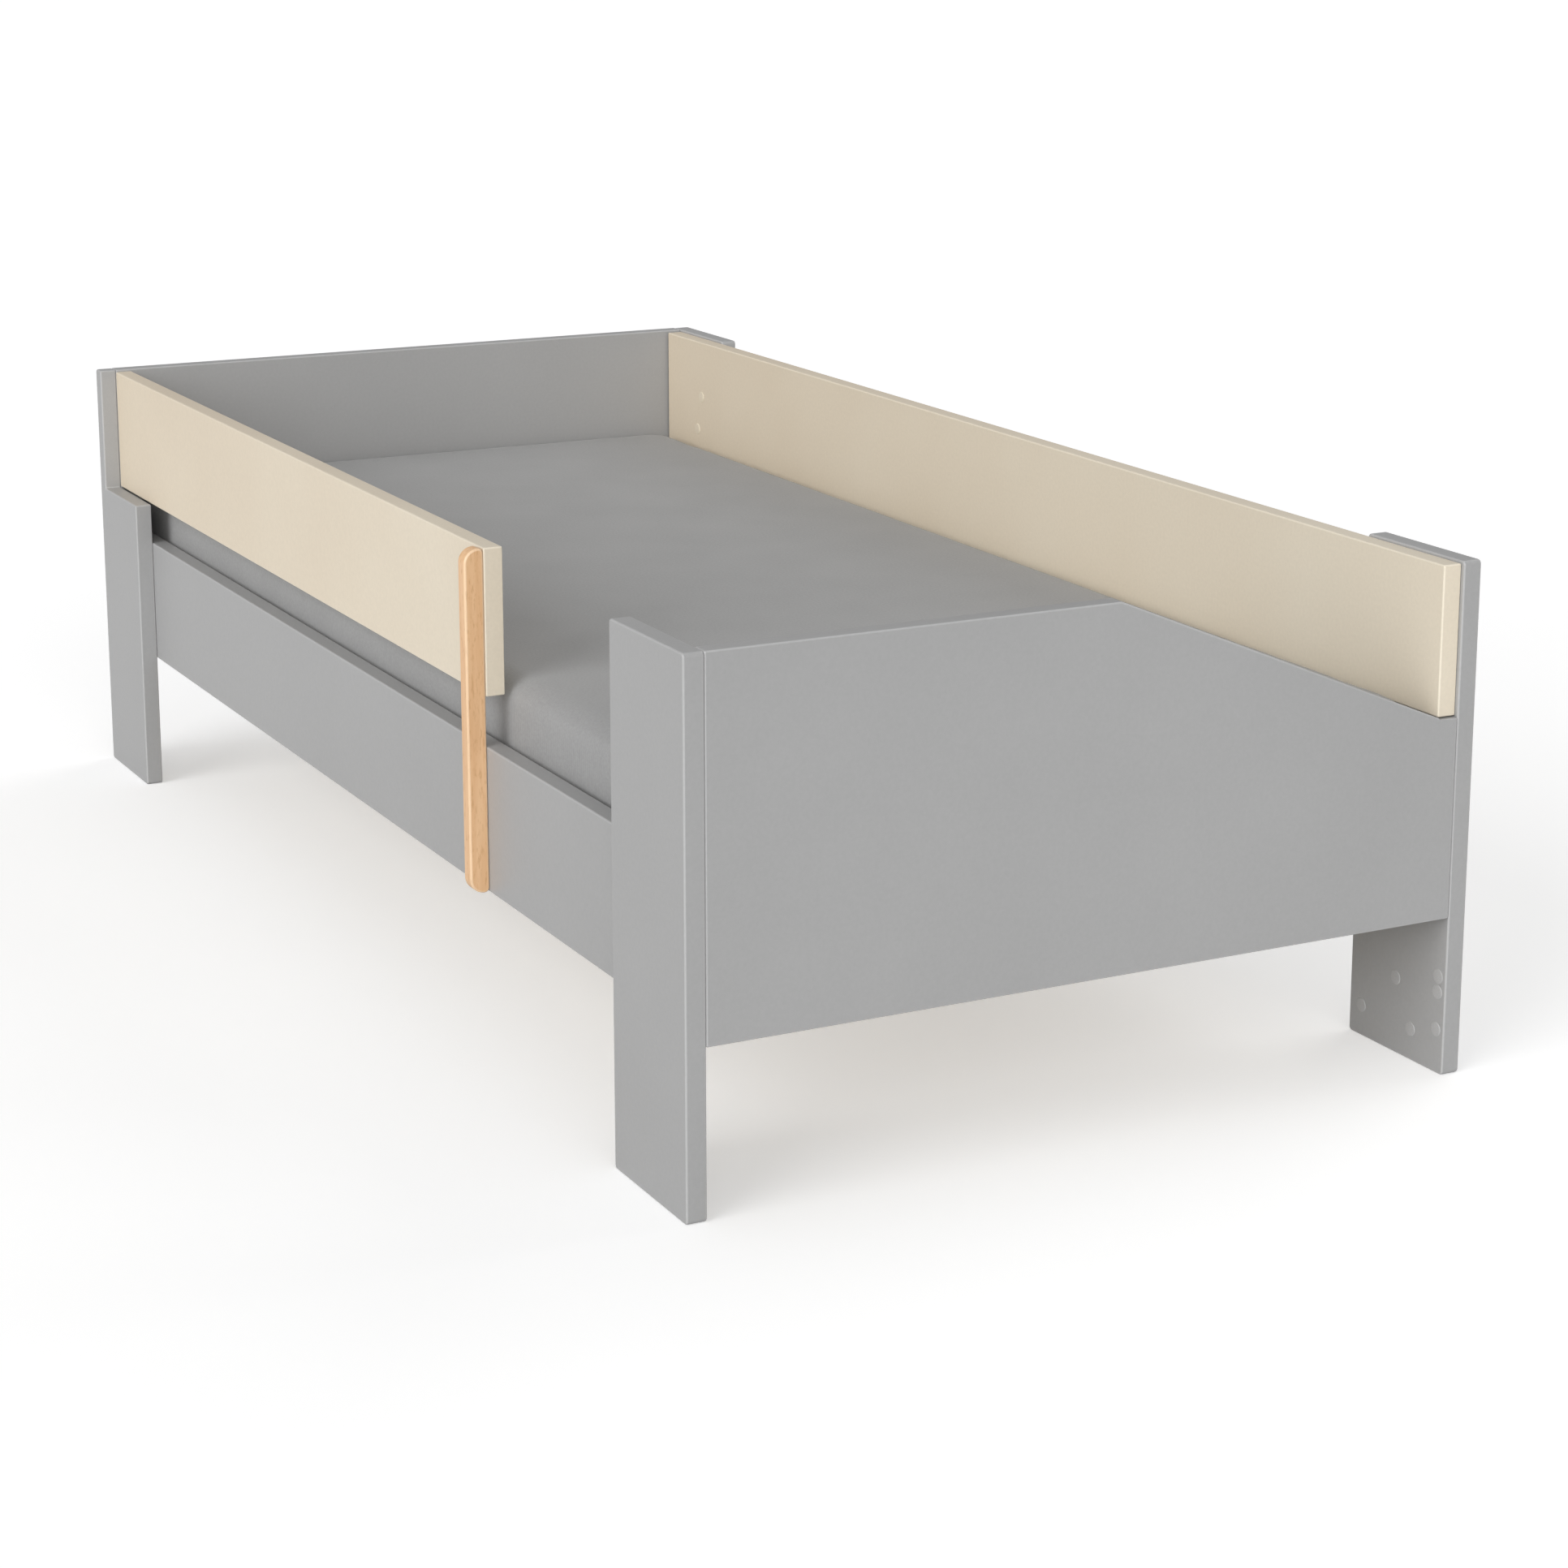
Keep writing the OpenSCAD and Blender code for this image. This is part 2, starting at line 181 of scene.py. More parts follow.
material, tree, shader, place = new_finish("pale_studio_floor", "#e4e4e4", 0.8)
cloud = add_node(tree, "ShaderNodeTexNoise", {"Vector": place, "Scale": per_mm(FLOOR_CLOUD_MM), "Detail": 3.0})
colour = blend_colours(tree, cloud.outputs["Fac"], 0.3, 0.7, "#e3e3e3", "#e5e5e5")
tree.links.new(colour, shader.inputs["Base Color"])
tree.links.new(colour, shader.inputs["Emission Color"])
seen = add_node(tree, "ShaderNodeLightPath").outputs["Is Camera Ray"]
backlight = add_node(tree, "ShaderNodeMapRange", {"Value": seen, "To Max": FLOOR_BACKLIGHT})
tree.links.new(backlight.outputs[0], shader.inputs["Emission Strength"])

floor_mesh = bpy.data.meshes.new("floor")
half = FLOOR_SIZE / 2
corners = [(x * half, y * half, 0) for x, y in ((-1, -1), (1, -1), (1, 1), (-1, 1))]
floor_mesh.from_pydata(corners, [], [(0, 1, 2, 3)])
floor_mesh.materials.append(material)
floor = bpy.data.objects.new("floor", floor_mesh)
bpy.context.scene.collection.objects.link(floor)

world = bpy.data.worlds.new("white_studio")
world.use_nodes = True
world.node_tree.nodes.clear()
seen = add_node(world.node_tree, "ShaderNodeLightPath").outputs["Is Camera Ray"]
glow = add_node(
    world.node_tree, "ShaderNodeMapRange", {"Value": seen, "To Min": WORLD_LIGHT, "To Max": WORLD_SEEN}
)
sky = add_node(
    world.node_tree, "ShaderNodeBackground", {"Color": linear("#ffffff"), "Strength": glow.outputs[0]}
)
add_node(world.node_tree, "ShaderNodeOutputWorld", {"Surface": sky.outputs[0]})
bpy.context.scene.world = world
bpy.context.scene.view_settings.view_transform = "Standard"
print("floor", FLOOR_SIZE, "m wide")

# %% [markdown]
# ## Lacquered MDF
# The boards are MDF, cut, edge-rounded and sprayed with a satin water-based lacquer. To the eye
# that is an even colour with a soft, slightly blurred gloss. Up close the spray leaves orange peel,
# ripples of one or two millimetres. Those would not show from across the room, so they are drawn at
# 5 mm. A very slow drift in tone stands for the film's thickness. The cream boards are a little warmer
# toward the head, and darker there as painted shade, where the light falls off. On the rounded edges
# the colour is mixed toward a pale one as a painted highlight, the thin pale line that the rounding
# would catch. The boards' meshes mark those faces with the attribute "rounding".


# %% Lacquered MDF
def painted_edge_highlight(tree, colour, pale, strength):
    """The colour, mixed toward a pale hex colour on the faces of rounded edges as a painted highlight."""
    marked = add_node(tree, "ShaderNodeAttribute", attribute_name="rounding").outputs["Fac"]
    share = add_node(tree, "ShaderNodeMath", {0: marked, 1: strength}, operation="MULTIPLY")
    mix = add_node(
        tree,
        "ShaderNodeMix",
        {"Factor": share.outputs[0], MIX_A: colour, MIX_B: linear(pale)},
        data_type="RGBA",
    )
    return mix.outputs[MIX_RESULT]


HALF_BED = 0.8
DRIFT_MM, SPECK_MM, PEEL_MM = 180, 3.5, 5
# How much of the pale colour the rounded edges take, as a painted highlight
EDGE_HIGHLIGHT_SHARE = 0.22
GLOSS_DRIFT = 0.04


def lacquered_mdf(name, first, second, pale, along, roughness):
    """Satin lacquer between two hex colours, with pale as a painted highlight on rounded edges. along is how
    much of the two runs from head to foot, the first at the head: on the cream boards that is warmer tone and
    painted shade.
    """
    material, tree, shader, place = new_finish(name, first, roughness, IOR=1.48)
    cloud = add_node(
        tree,
        "ShaderNodeTexNoise",
        {"Vector": place, "Scale": per_mm(DRIFT_MM), "Detail": 3.0, "Roughness": 0.45},
    )
    drift = add_node(
        tree, "ShaderNodeMapRange", {"Value": cloud.outputs["Fac"], "From Min": 0.3, "From Max": 0.7}
    )
    # From head to foot: on the cream boards the colour is warmer in tone toward the head, and darker there as
    # painted shade where the light falls off.
    lengthwise = add_node(tree, "ShaderNodeSeparateXYZ", {0: place}).outputs["X"]
    warmth_and_shade_run = add_node(
        tree, "ShaderNodeMapRange", {"Value": lengthwise, "From Min": -HALF_BED, "From Max": HALF_BED}
    )
    tone = add_node(tree, "ShaderNodeMix", {"Factor": along, "A": drift.outputs[0], "B": warmth_and_shade_run.outputs[0]})
    flat = blend_colours(tree, tone.outputs[0], 0.0, 1.0, first, second)
    # Rounded edges are mixed toward the pale colour: a painted highlight.
    colour = painted_edge_highlight(tree, flat, pale, EDGE_HIGHLIGHT_SHARE)
    speck = add_node(tree, "ShaderNodeTexNoise", {"Vector": place, "Scale": per_mm(SPECK_MM), "Detail": 2.0})
    grain = add_node(
        tree,
        "ShaderNodeMapRange",
        {"Value": speck.outputs["Fac"], "From Min": 0.3, "From Max": 0.7, "To Min": 0.975, "To Max": 1.015},
    )
    toned = add_node(
        tree, "ShaderNodeVectorMath", {0: colour, "Scale": grain.outputs[0]}, operation="SCALE"
    )
    tree.links.new(toned.outputs[0], shader.inputs["Base Color"])
    gloss = add_node(
        tree,
        "ShaderNodeMapRange",
        {"Value": drift.outputs[0], "To Min": roughness - GLOSS_DRIFT, "To Max": roughness + GLOSS_DRIFT},
    )
    tree.links.new(gloss.outputs[0], shader.inputs["Roughness"])
    peel = add_node(tree, "ShaderNodeTexNoise", {"Vector": place, "Scale": per_mm(PEEL_MM), "Detail": 1.0})
    ripple = add_node(
        tree, "ShaderNodeBump", {"Strength": 0.08, "Distance": 0.0006, "Height": peel.outputs["Fac"]}
    )
    tree.links.new(ripple.outputs[0], shader.inputs["Normal"])
    return material


# The third colour of each is the painted highlight on rounded edges. The cream turns warmer in tone and darker
# as painted shade toward the head.
grey_lacquer = lacquered_mdf("lacquered_mdf_grey", "#a3a3a3", "#a6a6a6", "#d2d2d2", 0.0, 0.40)
cream_lacquer = lacquered_mdf("lacquered_mdf_cream", "#d8c9b2", "#e3d9c6", "#f6efdf", 0.75, 0.40)
print("made", grey_lacquer.name, "and", cream_lacquer.name)

# %% [markdown]
# ## Beech, birch and pine
# The strip is solid beech under clear lacquer: a warm pale brown with straight grain and the short
# dark dashes, called flecks, that beech shows on every face. The slats are birch plywood strips and
# the ledgers planed pine, both bare. All three share one recipe of stretched noise. The grain runs
# along the board's length, so the pattern's coordinates are squeezed along that axis.


# %% Wood
# How much of the pattern's scale is left along the grain, for the rings and for the flecks
RING_STRETCH, FLECK_STRETCH = 0.06, 0.22
# The pale colour and its share of the painted highlight on the wood's rounded edges
WOOD_HIGHLIGHT, WOOD_HIGHLIGHT_SHARE = "#f8e2c4", 0.35


def wood(name, pale, dark, fleck, along, ring_mm, fleck_mm, roughness, coat=0.0):
    """Wood with rings drawn ring_mm wide and flecks fleck_mm wide, its grain along axis number along."""
    material, tree, shader, place = new_finish(name, pale, roughness, Coat_Weight=coat)
    stretch = [1.0, 1.0, 1.0]
    stretch[along] = RING_STRETCH
    grain = add_node(tree, "ShaderNodeMapping", {"Vector": place, "Scale": stretch})
    rings = add_node(
        tree,
        "ShaderNodeTexNoise",
        {"Vector": grain.outputs[0], "Scale": per_mm(ring_mm), "Detail": 4.0, "Distortion": 0.6},
    )
    tone = blend_colours(tree, rings.outputs["Fac"], 0.32, 0.7, pale, dark)
    stretch[along] = FLECK_STRETCH
    dashes = add_node(tree, "ShaderNodeMapping", {"Vector": place, "Scale": stretch})
    pores = add_node(
        tree, "ShaderNodeTexNoise", {"Vector": dashes.outputs[0], "Scale": per_mm(fleck_mm), "Detail": 2.0}
    )
    mask = add_node(
        tree,
        "ShaderNodeMapRange",
        {"Value": pores.outputs["Fac"], "From Min": 0.55, "From Max": 0.72, "To Max": 0.55},
    )
    flecked = add_node(
        tree,
        "ShaderNodeMix",
        {"Factor": mask.outputs[0], MIX_A: tone, MIX_B: linear(fleck)},
        data_type="RGBA",
    )
    # Rounded edges are mixed toward the pale colour: a painted highlight.
    colour = painted_edge_highlight(tree, flecked.outputs[MIX_RESULT], WOOD_HIGHLIGHT, WOOD_HIGHLIGHT_SHARE)
    tree.links.new(colour, shader.inputs["Base Color"])
    relief = add_node(
        tree, "ShaderNodeBump", {"Strength": 0.12, "Distance": 0.0004, "Height": pores.outputs["Fac"]}
    )
    tree.links.new(relief.outputs[0], shader.inputs["Normal"])
    return material


X_AXIS, Y_AXIS, Z_AXIS = 0, 1, 2
beech = wood("beech_clear_lacquer", "#e8bf93", "#dfb183", "#c79564", Z_AXIS, 7, 2.0, 0.4, 0.15)
birch = wood("birch_plywood_bare", "#ead6b2", "#dcc298", "#c9ab7c", Y_AXIS, 11, 2.5, 0.62)
pine = wood("pine_planed_bare", "#ecd2a0", "#dbb67c", "#c99d62", X_AXIS, 9, 3.0, 0.6)
dowel_beech = wood("beech_dowel", "#ddb78c", "#cfa274", "#b98a60", Y_AXIS, 6, 1.6, 0.6)
print("made", beech.name, birch.name, pine.name)

# %% [markdown]
# ## Cloth and foam
# The sheet is cotton jersey, a fine knit. Its columns of loops are about 1.2 mm apart, so they are
# drawn 3 mm apart. Loose fibres scatter light at a glancing angle, which the shader's sheen does.
# The mattress cover is white ticking quilted in 60 mm diamonds, the tape a plain cotton weave, and
# the core open-cell foam with visible pores.


# %% Cloth
CLOUD_MM, CLOUD_SHARE = 90, 0.35
COLUMN_SHARE = 0.5


def wave_scale(period_mm):
    """The scale of a wave texture with this period, which is 2 pi / 20 of the texture's unit."""
    return per_mm(period_mm) * math.pi / 10


def cloth(name, first, second, column_mm, fuzz_mm, relief_m, roughness, sheen):
    """A knit or weave: columns column_mm apart across the bed, with fuzz of fuzz_mm."""
    material, tree, shader, place = new_finish(
        name, first, roughness, Sheen_Weight=sheen, Sheen_Roughness=0.5
    )
    fuzz = add_node(
        tree,
        "ShaderNodeTexNoise",
        {"Vector": place, "Scale": per_mm(fuzz_mm), "Detail": 3.0, "Roughness": 0.6},
    )
    slow = add_node(tree, "ShaderNodeTexNoise", {"Vector": place, "Scale": per_mm(CLOUD_MM), "Detail": 2.0})
    both = add_node(
        tree,
        "ShaderNodeMath",
        {0: slow.outputs["Fac"], 1: CLOUD_SHARE, 2: fuzz.outputs["Fac"]},
        operation="MULTIPLY_ADD",
    )
    colour = blend_colours(tree, both.outputs[0], 0.45, 0.9, first, second)
    tree.links.new(colour, shader.inputs["Base Color"])
    columns = add_node(
        tree,
        "ShaderNodeTexWave",
        {"Vector": place, "Scale": wave_scale(column_mm), "Distortion": 0.4, "Detail": 1.0},
        bands_direction="X",
    )
    height = add_node(
        tree,
        "ShaderNodeMath",
        {0: columns.outputs["Fac"], 1: COLUMN_SHARE, 2: fuzz.outputs["Fac"]},
        operation="MULTIPLY_ADD",
    )
    loops = add_node(
        tree, "ShaderNodeBump", {"Strength": 0.35, "Distance": relief_m, "Height": height.outputs[0]}
    )
    tree.links.new(loops.outputs[0], shader.inputs["Normal"])
    return material


jersey = cloth("cotton_jersey_grey", "#939393", "#9f9f9f", 3.0, 2.4, 0.0005, 0.85, 0.12)
webbing = cloth("cotton_webbing_natural", "#e6dfd0", "#f1ebdf", 2.0, 1.5, 0.0004, 0.85, 0.15)
thread = cloth("polyester_thread_grey", "#8d8d8d", "#9a9a9a", 1.5, 1.0, 0.0002, 0.6, 0.1)
print("made", jersey.name, webbing.name, thread.name)

# %% Quilted ticking
QUILT_MM = 60

ticking, tree, shader, place = new_finish("quilted_ticking_white", "#f1efe9", 0.8, Sheen_Weight=0.2)
turned = add_node(tree, "ShaderNodeMapping", {"Vector": place, "Rotation": (0, 0, math.radians(45))})
lines = []
for direction in ("X", "Y"):
    wave = add_node(
        tree,
        "ShaderNodeTexWave",
        {"Vector": turned.outputs[0], "Scale": wave_scale(QUILT_MM)},
        bands_direction=direction,
    )
    lines.append(wave.outputs["Fac"])
quilt = add_node(tree, "ShaderNodeMath", {0: lines[0], 1: lines[1]}, operation="MINIMUM")
puffed = add_node(tree, "ShaderNodeMath", {0: quilt.outputs[0], 1: 0.4}, operation="POWER")
# Toward the quilting lines the colour darkens: painted shade in the grooves between the puffs.
tree.links.new(
    blend_colours(tree, puffed.outputs[0], 0.0, 0.5, "#d9d6cc", "#f3f1eb"), shader.inputs["Base Color"]
)
relief = add_node(tree, "ShaderNodeBump", {"Strength": 0.9, "Distance": 0.004, "Height": puffed.outputs[0]})
tree.links.new(relief.outputs[0], shader.inputs["Normal"])
print("made", ticking.name)

# %% Foam
CELL_MM = 2.0

foam, tree, shader, place = new_finish("open_cell_foam", "#f0e4b4", 0.95)
cells = add_node(tree, "ShaderNodeTexVoronoi", {"Vector": place, "Scale": per_mm(CELL_MM)}).outputs["Distance"]
# The pits of the cells are darker: painted shade in the pores.
colour = blend_colours(tree, cells, 0.0, 0.6, "#d8c88c", "#f4e9bf")
tree.links.new(colour, shader.inputs["Base Color"])
pits = add_node(tree, "ShaderNodeBump", {"Strength": 0.5, "Distance": 0.0008, "Height": cells})
tree.links.new(pits.outputs[0], shader.inputs["Normal"])
print("made", foam.name)

# %% [markdown]
# ## Metal and plastic
# Bolts, screws and studs are steel with a bright zinc plating, inserts are turned brass, cams are
# die-cast zinc, and the cover caps are moulded plastic in the boards' colours. Plating shows faint
# cloudy patches, casting a coarser skin, moulding a fine spark-eroded grain.


# %% Metal and plastic
GRAIN_DRIFT = 0.08


def fine_grained(name, first, second, grain_mm, relief_m, roughness, metallic=0.0):
    """Metal or plastic whose tone and surface vary at grain_mm."""
    material, tree, shader, place = new_finish(name, first, roughness, Metallic=metallic)
    grain = add_node(tree, "ShaderNodeTexNoise", {"Vector": place, "Scale": per_mm(grain_mm), "Detail": 3.0})
    colour = blend_colours(tree, grain.outputs["Fac"], 0.35, 0.65, first, second)
    tree.links.new(colour, shader.inputs["Base Color"])
    rough = add_node(
        tree,
        "ShaderNodeMapRange",
        {"Value": grain.outputs["Fac"], "To Min": roughness - GRAIN_DRIFT, "To Max": roughness + GRAIN_DRIFT},
    )
    tree.links.new(rough.outputs[0], shader.inputs["Roughness"])
    skin = add_node(
        tree, "ShaderNodeBump", {"Strength": 0.2, "Distance": relief_m, "Height": grain.outputs["Fac"]}
    )
    tree.links.new(skin.outputs[0], shader.inputs["Normal"])
    return material


zinc = fine_grained("zinc_plated_steel", "#c3c6ca", "#d2d4d6", 3.0, 0.00005, 0.32, 1.0)
brass = fine_grained("turned_brass", "#c8a860", "#d6b873", 1.0, 0.00003, 0.28, 1.0)
cast_zinc = fine_grained("die_cast_zinc", "#b4b6b8", "#c0c2c4", 1.2, 0.0001, 0.45, 1.0)
grey_plastic = fine_grained("moulded_plastic_grey", "#a9a9a9", "#b1b1b1", 1.0, 0.00008, 0.5)
cream_plastic = fine_grained("moulded_plastic_cream", "#dccfb8", "#e0d5c0", 1.0, 0.00008, 0.5)
print("made", zinc.name, brass.name, cast_zinc.name, grey_plastic.name, cream_plastic.name)

# %% [markdown]
# ## Boards with soft edges
# A sprayed board never has a sharp edge: the edges are rounded before spraying so that the lacquer
# holds, and that rounding catches thin bright lines, which the finishes strengthen with a painted
# highlight on its faces. The CAD mesh is loose triangles, so a copy is merged, its flat triangles are
# joined, and only the long edges and those near the corners are bevelled. The rims of the bolt holes
# are left sharp. A weighted normal modifier keeps the large faces flat in shading.


# %% Piece helpers
# Doubles and flat triangles of the CAD mesh, and the edges that are sharp, long or shaded sharp
SAME_PLACE = 1e-6
FLAT = math.radians(0.6)
SHARP = math.radians(50)
SHADED_SHARP = math.radians(40)
LONG_EDGE = 0.009


def as_piece(name, mesh, material, body, nodes=()):
    """Links a mesh as a finished piece: its material, body and the CAD nodes it stands for."""
    piece = bpy.data.objects.new(name, mesh)
    bpy.context.scene.collection.objects.link(piece)
    piece.data.materials.clear()
    piece.data.materials.append(material)
    if nodes:
        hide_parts(*nodes)
    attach(piece, body)
    return piece


def evaluated_mesh(source):
    """The object's mesh with its modifiers applied. The object itself is removed."""
    graph = bpy.context.evaluated_depsgraph_get()
    mesh = bpy.data.meshes.new_from_object(source.evaluated_get(graph))
    bpy.data.objects.remove(source)
    return mesh


def merged(node):
    """A bmesh of a CAD node's own mesh with its doubles merged and its flat triangles joined."""
    shape = bmesh.new()
    shape.from_mesh(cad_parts[node].data)
    bmesh.ops.remove_doubles(shape, verts=shape.verts, dist=SAME_PLACE)
    bmesh.ops.dissolve_limit(shape, angle_limit=FLAT, verts=shape.verts, edges=shape.edges)
    return shape



def soft_edged(node, radius, corner=0.006, segments=3):
    """A mesh of the node whose outer edges are rounded. corner is how far round corners reach."""
    shape = merged(node)
    low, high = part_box(node)
    rounding = shape.faces.layers.float.new("rounding")
    ends = []
    for edge in shape.edges:
        if len(edge.link_faces) != 2 or edge.calc_face_angle(0.0) < SHARP:
            continue
        middle = (edge.verts[0].co + edge.verts[1].co) / 2
        at_corner = all(min(middle[i] - low[i], high[i] - middle[i]) < corner for i in range(3))
        if edge.calc_length() > LONG_EDGE or at_corner:
            ends.append(edge)
    rounded = bmesh.ops.bevel(
        shape,
        geom=ends,
        offset=radius,
        offset_type="OFFSET",
        segments=segments,
        profile=0.5,
        affect="EDGES",
        clamp_overlap=False,
        material=-1,
    )
    # The rounded faces are marked, and the finishes paint a highlight on them.
    for face in rounded["faces"]:
        face[rounding] = 1.0
    mesh = bpy.data.meshes.new(node)
    shape.to_mesh(mesh)
    shape.free()
    mesh.shade_smooth()
    mesh.set_sharp_from_angle(angle=SHADED_SHARP)
    holder = bpy.data.objects.new("holder", mesh)
    bpy.context.scene.collection.objects.link(holder)
    weighted = holder.modifiers.new("weighted", "WEIGHTED_NORMAL")
    weighted.keep_sharp = True
    return evaluated_mesh(holder)


# %% The lacquered boards
BOARD_EDGE = 0.0015
GREY_BOARDS = ["leg_head_front", "leg_head_rear", "leg_foot_front", "leg_foot_rear"]
GREY_BOARDS += ["head_panel", "foot_panel", "side_panel_front", "side_panel_rear"]
CREAM_BOARDS = ["guard_rail_front", "guard_rail_rear"]
BOARDS = [(node, grey_lacquer, "grey_lacquer") for node in GREY_BOARDS]
BOARDS += [(node, cream_lacquer, "cream_lacquer") for node in CREAM_BOARDS]

for node, lacquer, slot in BOARDS:
    piece = as_piece(node + "_board", soft_edged(node, BOARD_EDGE), lacquer, "frame", [node])
    print(piece.name, len(piece.data.polygons), "faces")

# %% The beech strip and the ledgers
STRIP_EDGE = 0.002
STRIP_CORNER = 0.016
LEDGER_EDGE = 0.0015

strip_mesh = soft_edged("rail_support_strip", STRIP_EDGE, STRIP_CORNER)
strip = as_piece("beech_strip", strip_mesh, beech, "frame", ["rail_support_strip"])
print(strip.name, len(strip.data.polygons), "faces")
for node in ("ledger_front", "ledger_rear"):
    piece = as_piece(node + "_batten", soft_edged(node, LEDGER_EDGE), pine, "frame", [node])
    print(piece.name, len(piece.data.polygons), "faces")

# %% [markdown]
# ## Slats and their tapes
# Fourteen birch slats lie loose on the ledgers, and two cotton tapes stapled to their undersides
# keep them at their pitch. Between two slats the tape hangs a little, so each tape is a thin strip
# whose height follows the slats. The staples repeat at every crossing: Geometry Nodes lays out one
# row of points for each tape and sets a bent wire on each.

# %% Slats
SLAT_EDGE = 0.0012
SLAT_NODES = sorted(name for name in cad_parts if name.startswith("slat_") and name != "slat_tapes")

for node in SLAT_NODES:
    as_piece(node + "_birch", soft_edged(node, SLAT_EDGE), birch, "slat_base", [node])
print(len(SLAT_NODES), "slats")

# %% Tapes that hang between the slats
TAPE_SAG = 0.0025
TAPE_STEPS = 10

tape_low, tape_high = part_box("slat_tapes")
first_low, first_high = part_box(SLAT_NODES[0])
last_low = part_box(SLAT_NODES[-1])[0]
slat_width = first_high[0] - first_low[0]
pitch = (last_low[0] - first_low[0]) / (len(SLAT_NODES) - 1)
tape_parts = merged("slat_tapes")
inner_y = min(abs(v.co.y) for v in tape_parts.verts)
tape_parts.free()
tape_width = tape_high[1] - inner_y
tape_middle = (tape_high[1] + inner_y) / 2
tape_thick = tape_high[2] - tape_low[2]


def tape_drop(x):
    """How far the tape hangs below the slats at x: nothing under a slat, most between two."""
    along = (x - first_low[0]) % pitch
    if along < slat_width or x > last_low[0]:
        return 0.0
    return TAPE_SAG * math.sin(math.pi * (along - slat_width) / (pitch - slat_width)) ** 2


stations = sorted(
    {round(first_low[0] + i * pitch + slat_width * j, 6) for i in range(len(SLAT_NODES)) for j in (0, 1)}
    | {
        round(first_high[0] + i * pitch + (pitch - slat_width) * j / TAPE_STEPS, 6)
        for i in range(len(SLAT_NODES) - 1)
        for j in range(1, TAPE_STEPS)
    }
)
tapes = bmesh.new()
for side in (-1, 1):
    rows = []
    for x in stations:
        top = tape_high[2] - tape_drop(x)
        near, far = side * tape_middle - tape_width / 2, side * tape_middle + tape_width / 2
        corners = [(near, top), (far, top), (far, top - tape_thick), (near, top - tape_thick)]
        rows.append([tapes.verts.new((x, y, z)) for y, z in corners])
    for one, two in zip(rows, rows[1:]):
        for i in range(4):
            tapes.faces.new((one[i], one[(i + 1) % 4], two[(i + 1) % 4], two[i]))
    tapes.faces.new(rows[0])
    tapes.faces.new(rows[-1])
bmesh.ops.recalc_face_normals(tapes, faces=tapes.faces)
tape_mesh = bpy.data.meshes.new("tapes")
tapes.to_mesh(tape_mesh)
tapes.free()
as_piece("cotton_tapes", tape_mesh, webbing, "slat_base", ["slat_tapes"])
print("tape", round(tape_width * 1000), "mm wide, pitch of the slats", round(pitch * 1000, 1), "mm")


# %% Geometry Nodes helpers
def open_tree(name, **inputs):
    """A Geometry Nodes tree with a Geometry input and others by name: returns it and its inputs."""
    tree = bpy.data.node_groups.new(name, "GeometryNodeTree")
    tree.interface.new_socket("Geometry", in_out="INPUT", socket_type="NodeSocketGeometry")
    for key, kind in inputs.items():
        tree.interface.new_socket(key, in_out="INPUT", socket_type="NodeSocket" + kind)
    tree.interface.new_socket("Geometry", in_out="OUTPUT", socket_type="NodeSocketGeometry")
    return tree, add_node(tree, "NodeGroupInput").outputs


def close_tree(tree, geometry, material):
    """Ends a tree: instances made real, and the material set."""
    real = add_node(tree, "GeometryNodeRealizeInstances", {0: geometry})
    coated = add_node(tree, "GeometryNodeSetMaterial", {"Geometry": real.outputs[0], "Material": material})
    add_node(tree, "NodeGroupOutput", {0: coated.outputs[0]})


def run_tree(tree, mesh, **values):
    """The mesh that the tree makes of this one. Each input is set by its socket's identifier."""
    holder = bpy.data.objects.new("holder", mesh)
    bpy.context.scene.collection.objects.link(holder)
    modifier = holder.modifiers.new(tree.name, "NODES")
    modifier.node_group = tree
    for item in tree.interface.items_tree:
        if item.in_out == "INPUT" and item.name in values:
            modifier[item.identifier] = values[item.name]
    return evaluated_mesh(holder)


def joined(tree, *parts):
    """Join Geometry of several sockets."""
    join = add_node(tree, "GeometryNodeJoinGeometry")
    for part in parts:
        tree.links.new(part, join.inputs[0])
    return join.outputs[0]


def moved(tree, geometry, **inputs):
    """Transform Geometry with the inputs given by name."""
    return add_node(tree, "GeometryNodeTransform", {"Geometry": geometry, **inputs}).outputs[0]


def maths(tree, operation, *values):
    """A Math node's result."""
    node = add_node(tree, "ShaderNodeMath", dict(enumerate(values)), operation=operation)
    return node.outputs[0]


def vector(tree, **parts):
    """Combine XYZ of the parts given."""
    return add_node(tree, "ShaderNodeCombineXYZ", parts).outputs[0]


# %% Staples at every crossing
STAPLE_WIDE = 0.010
STAPLE_WIRE = 0.0005

tree, given = open_tree(
    "staple_rows", Count="Int", First="Vector", Pitch="Vector", Width="Float", Wire="Float", Finish="Material"
)
row = add_node(
    tree,
    "GeometryNodeMeshLine",
    {"Count": given["Count"], "Start Location": given["First"], "Offset": given["Pitch"]},
)
half_width = maths(tree, "MULTIPLY", given["Width"], 0.5)
other_half = maths(tree, "MULTIPLY", given["Width"], -0.5)
bent = maths(tree, "MULTIPLY", given["Wire"], -2.0)
wire = add_node(
    tree,
    "GeometryNodeCurvePrimitiveBezierSegment",
    {
        "Start": vector(tree, Y=other_half, Z=given["Wire"]),
        "Start Handle": vector(tree, Y=other_half, Z=bent),
        "End Handle": vector(tree, Y=half_width, Z=bent),
        "End": vector(tree, Y=half_width, Z=given["Wire"]),
        "Resolution": 16,
    },
)
round_wire = add_node(tree, "GeometryNodeCurvePrimitiveCircle", {"Resolution": 8, "Radius": given["Wire"]})
staple = add_node(
    tree,
    "GeometryNodeCurveToMesh",
    {"Curve": wire.outputs[0], "Profile Curve": round_wire.outputs[0], "Fill Caps": True},
)
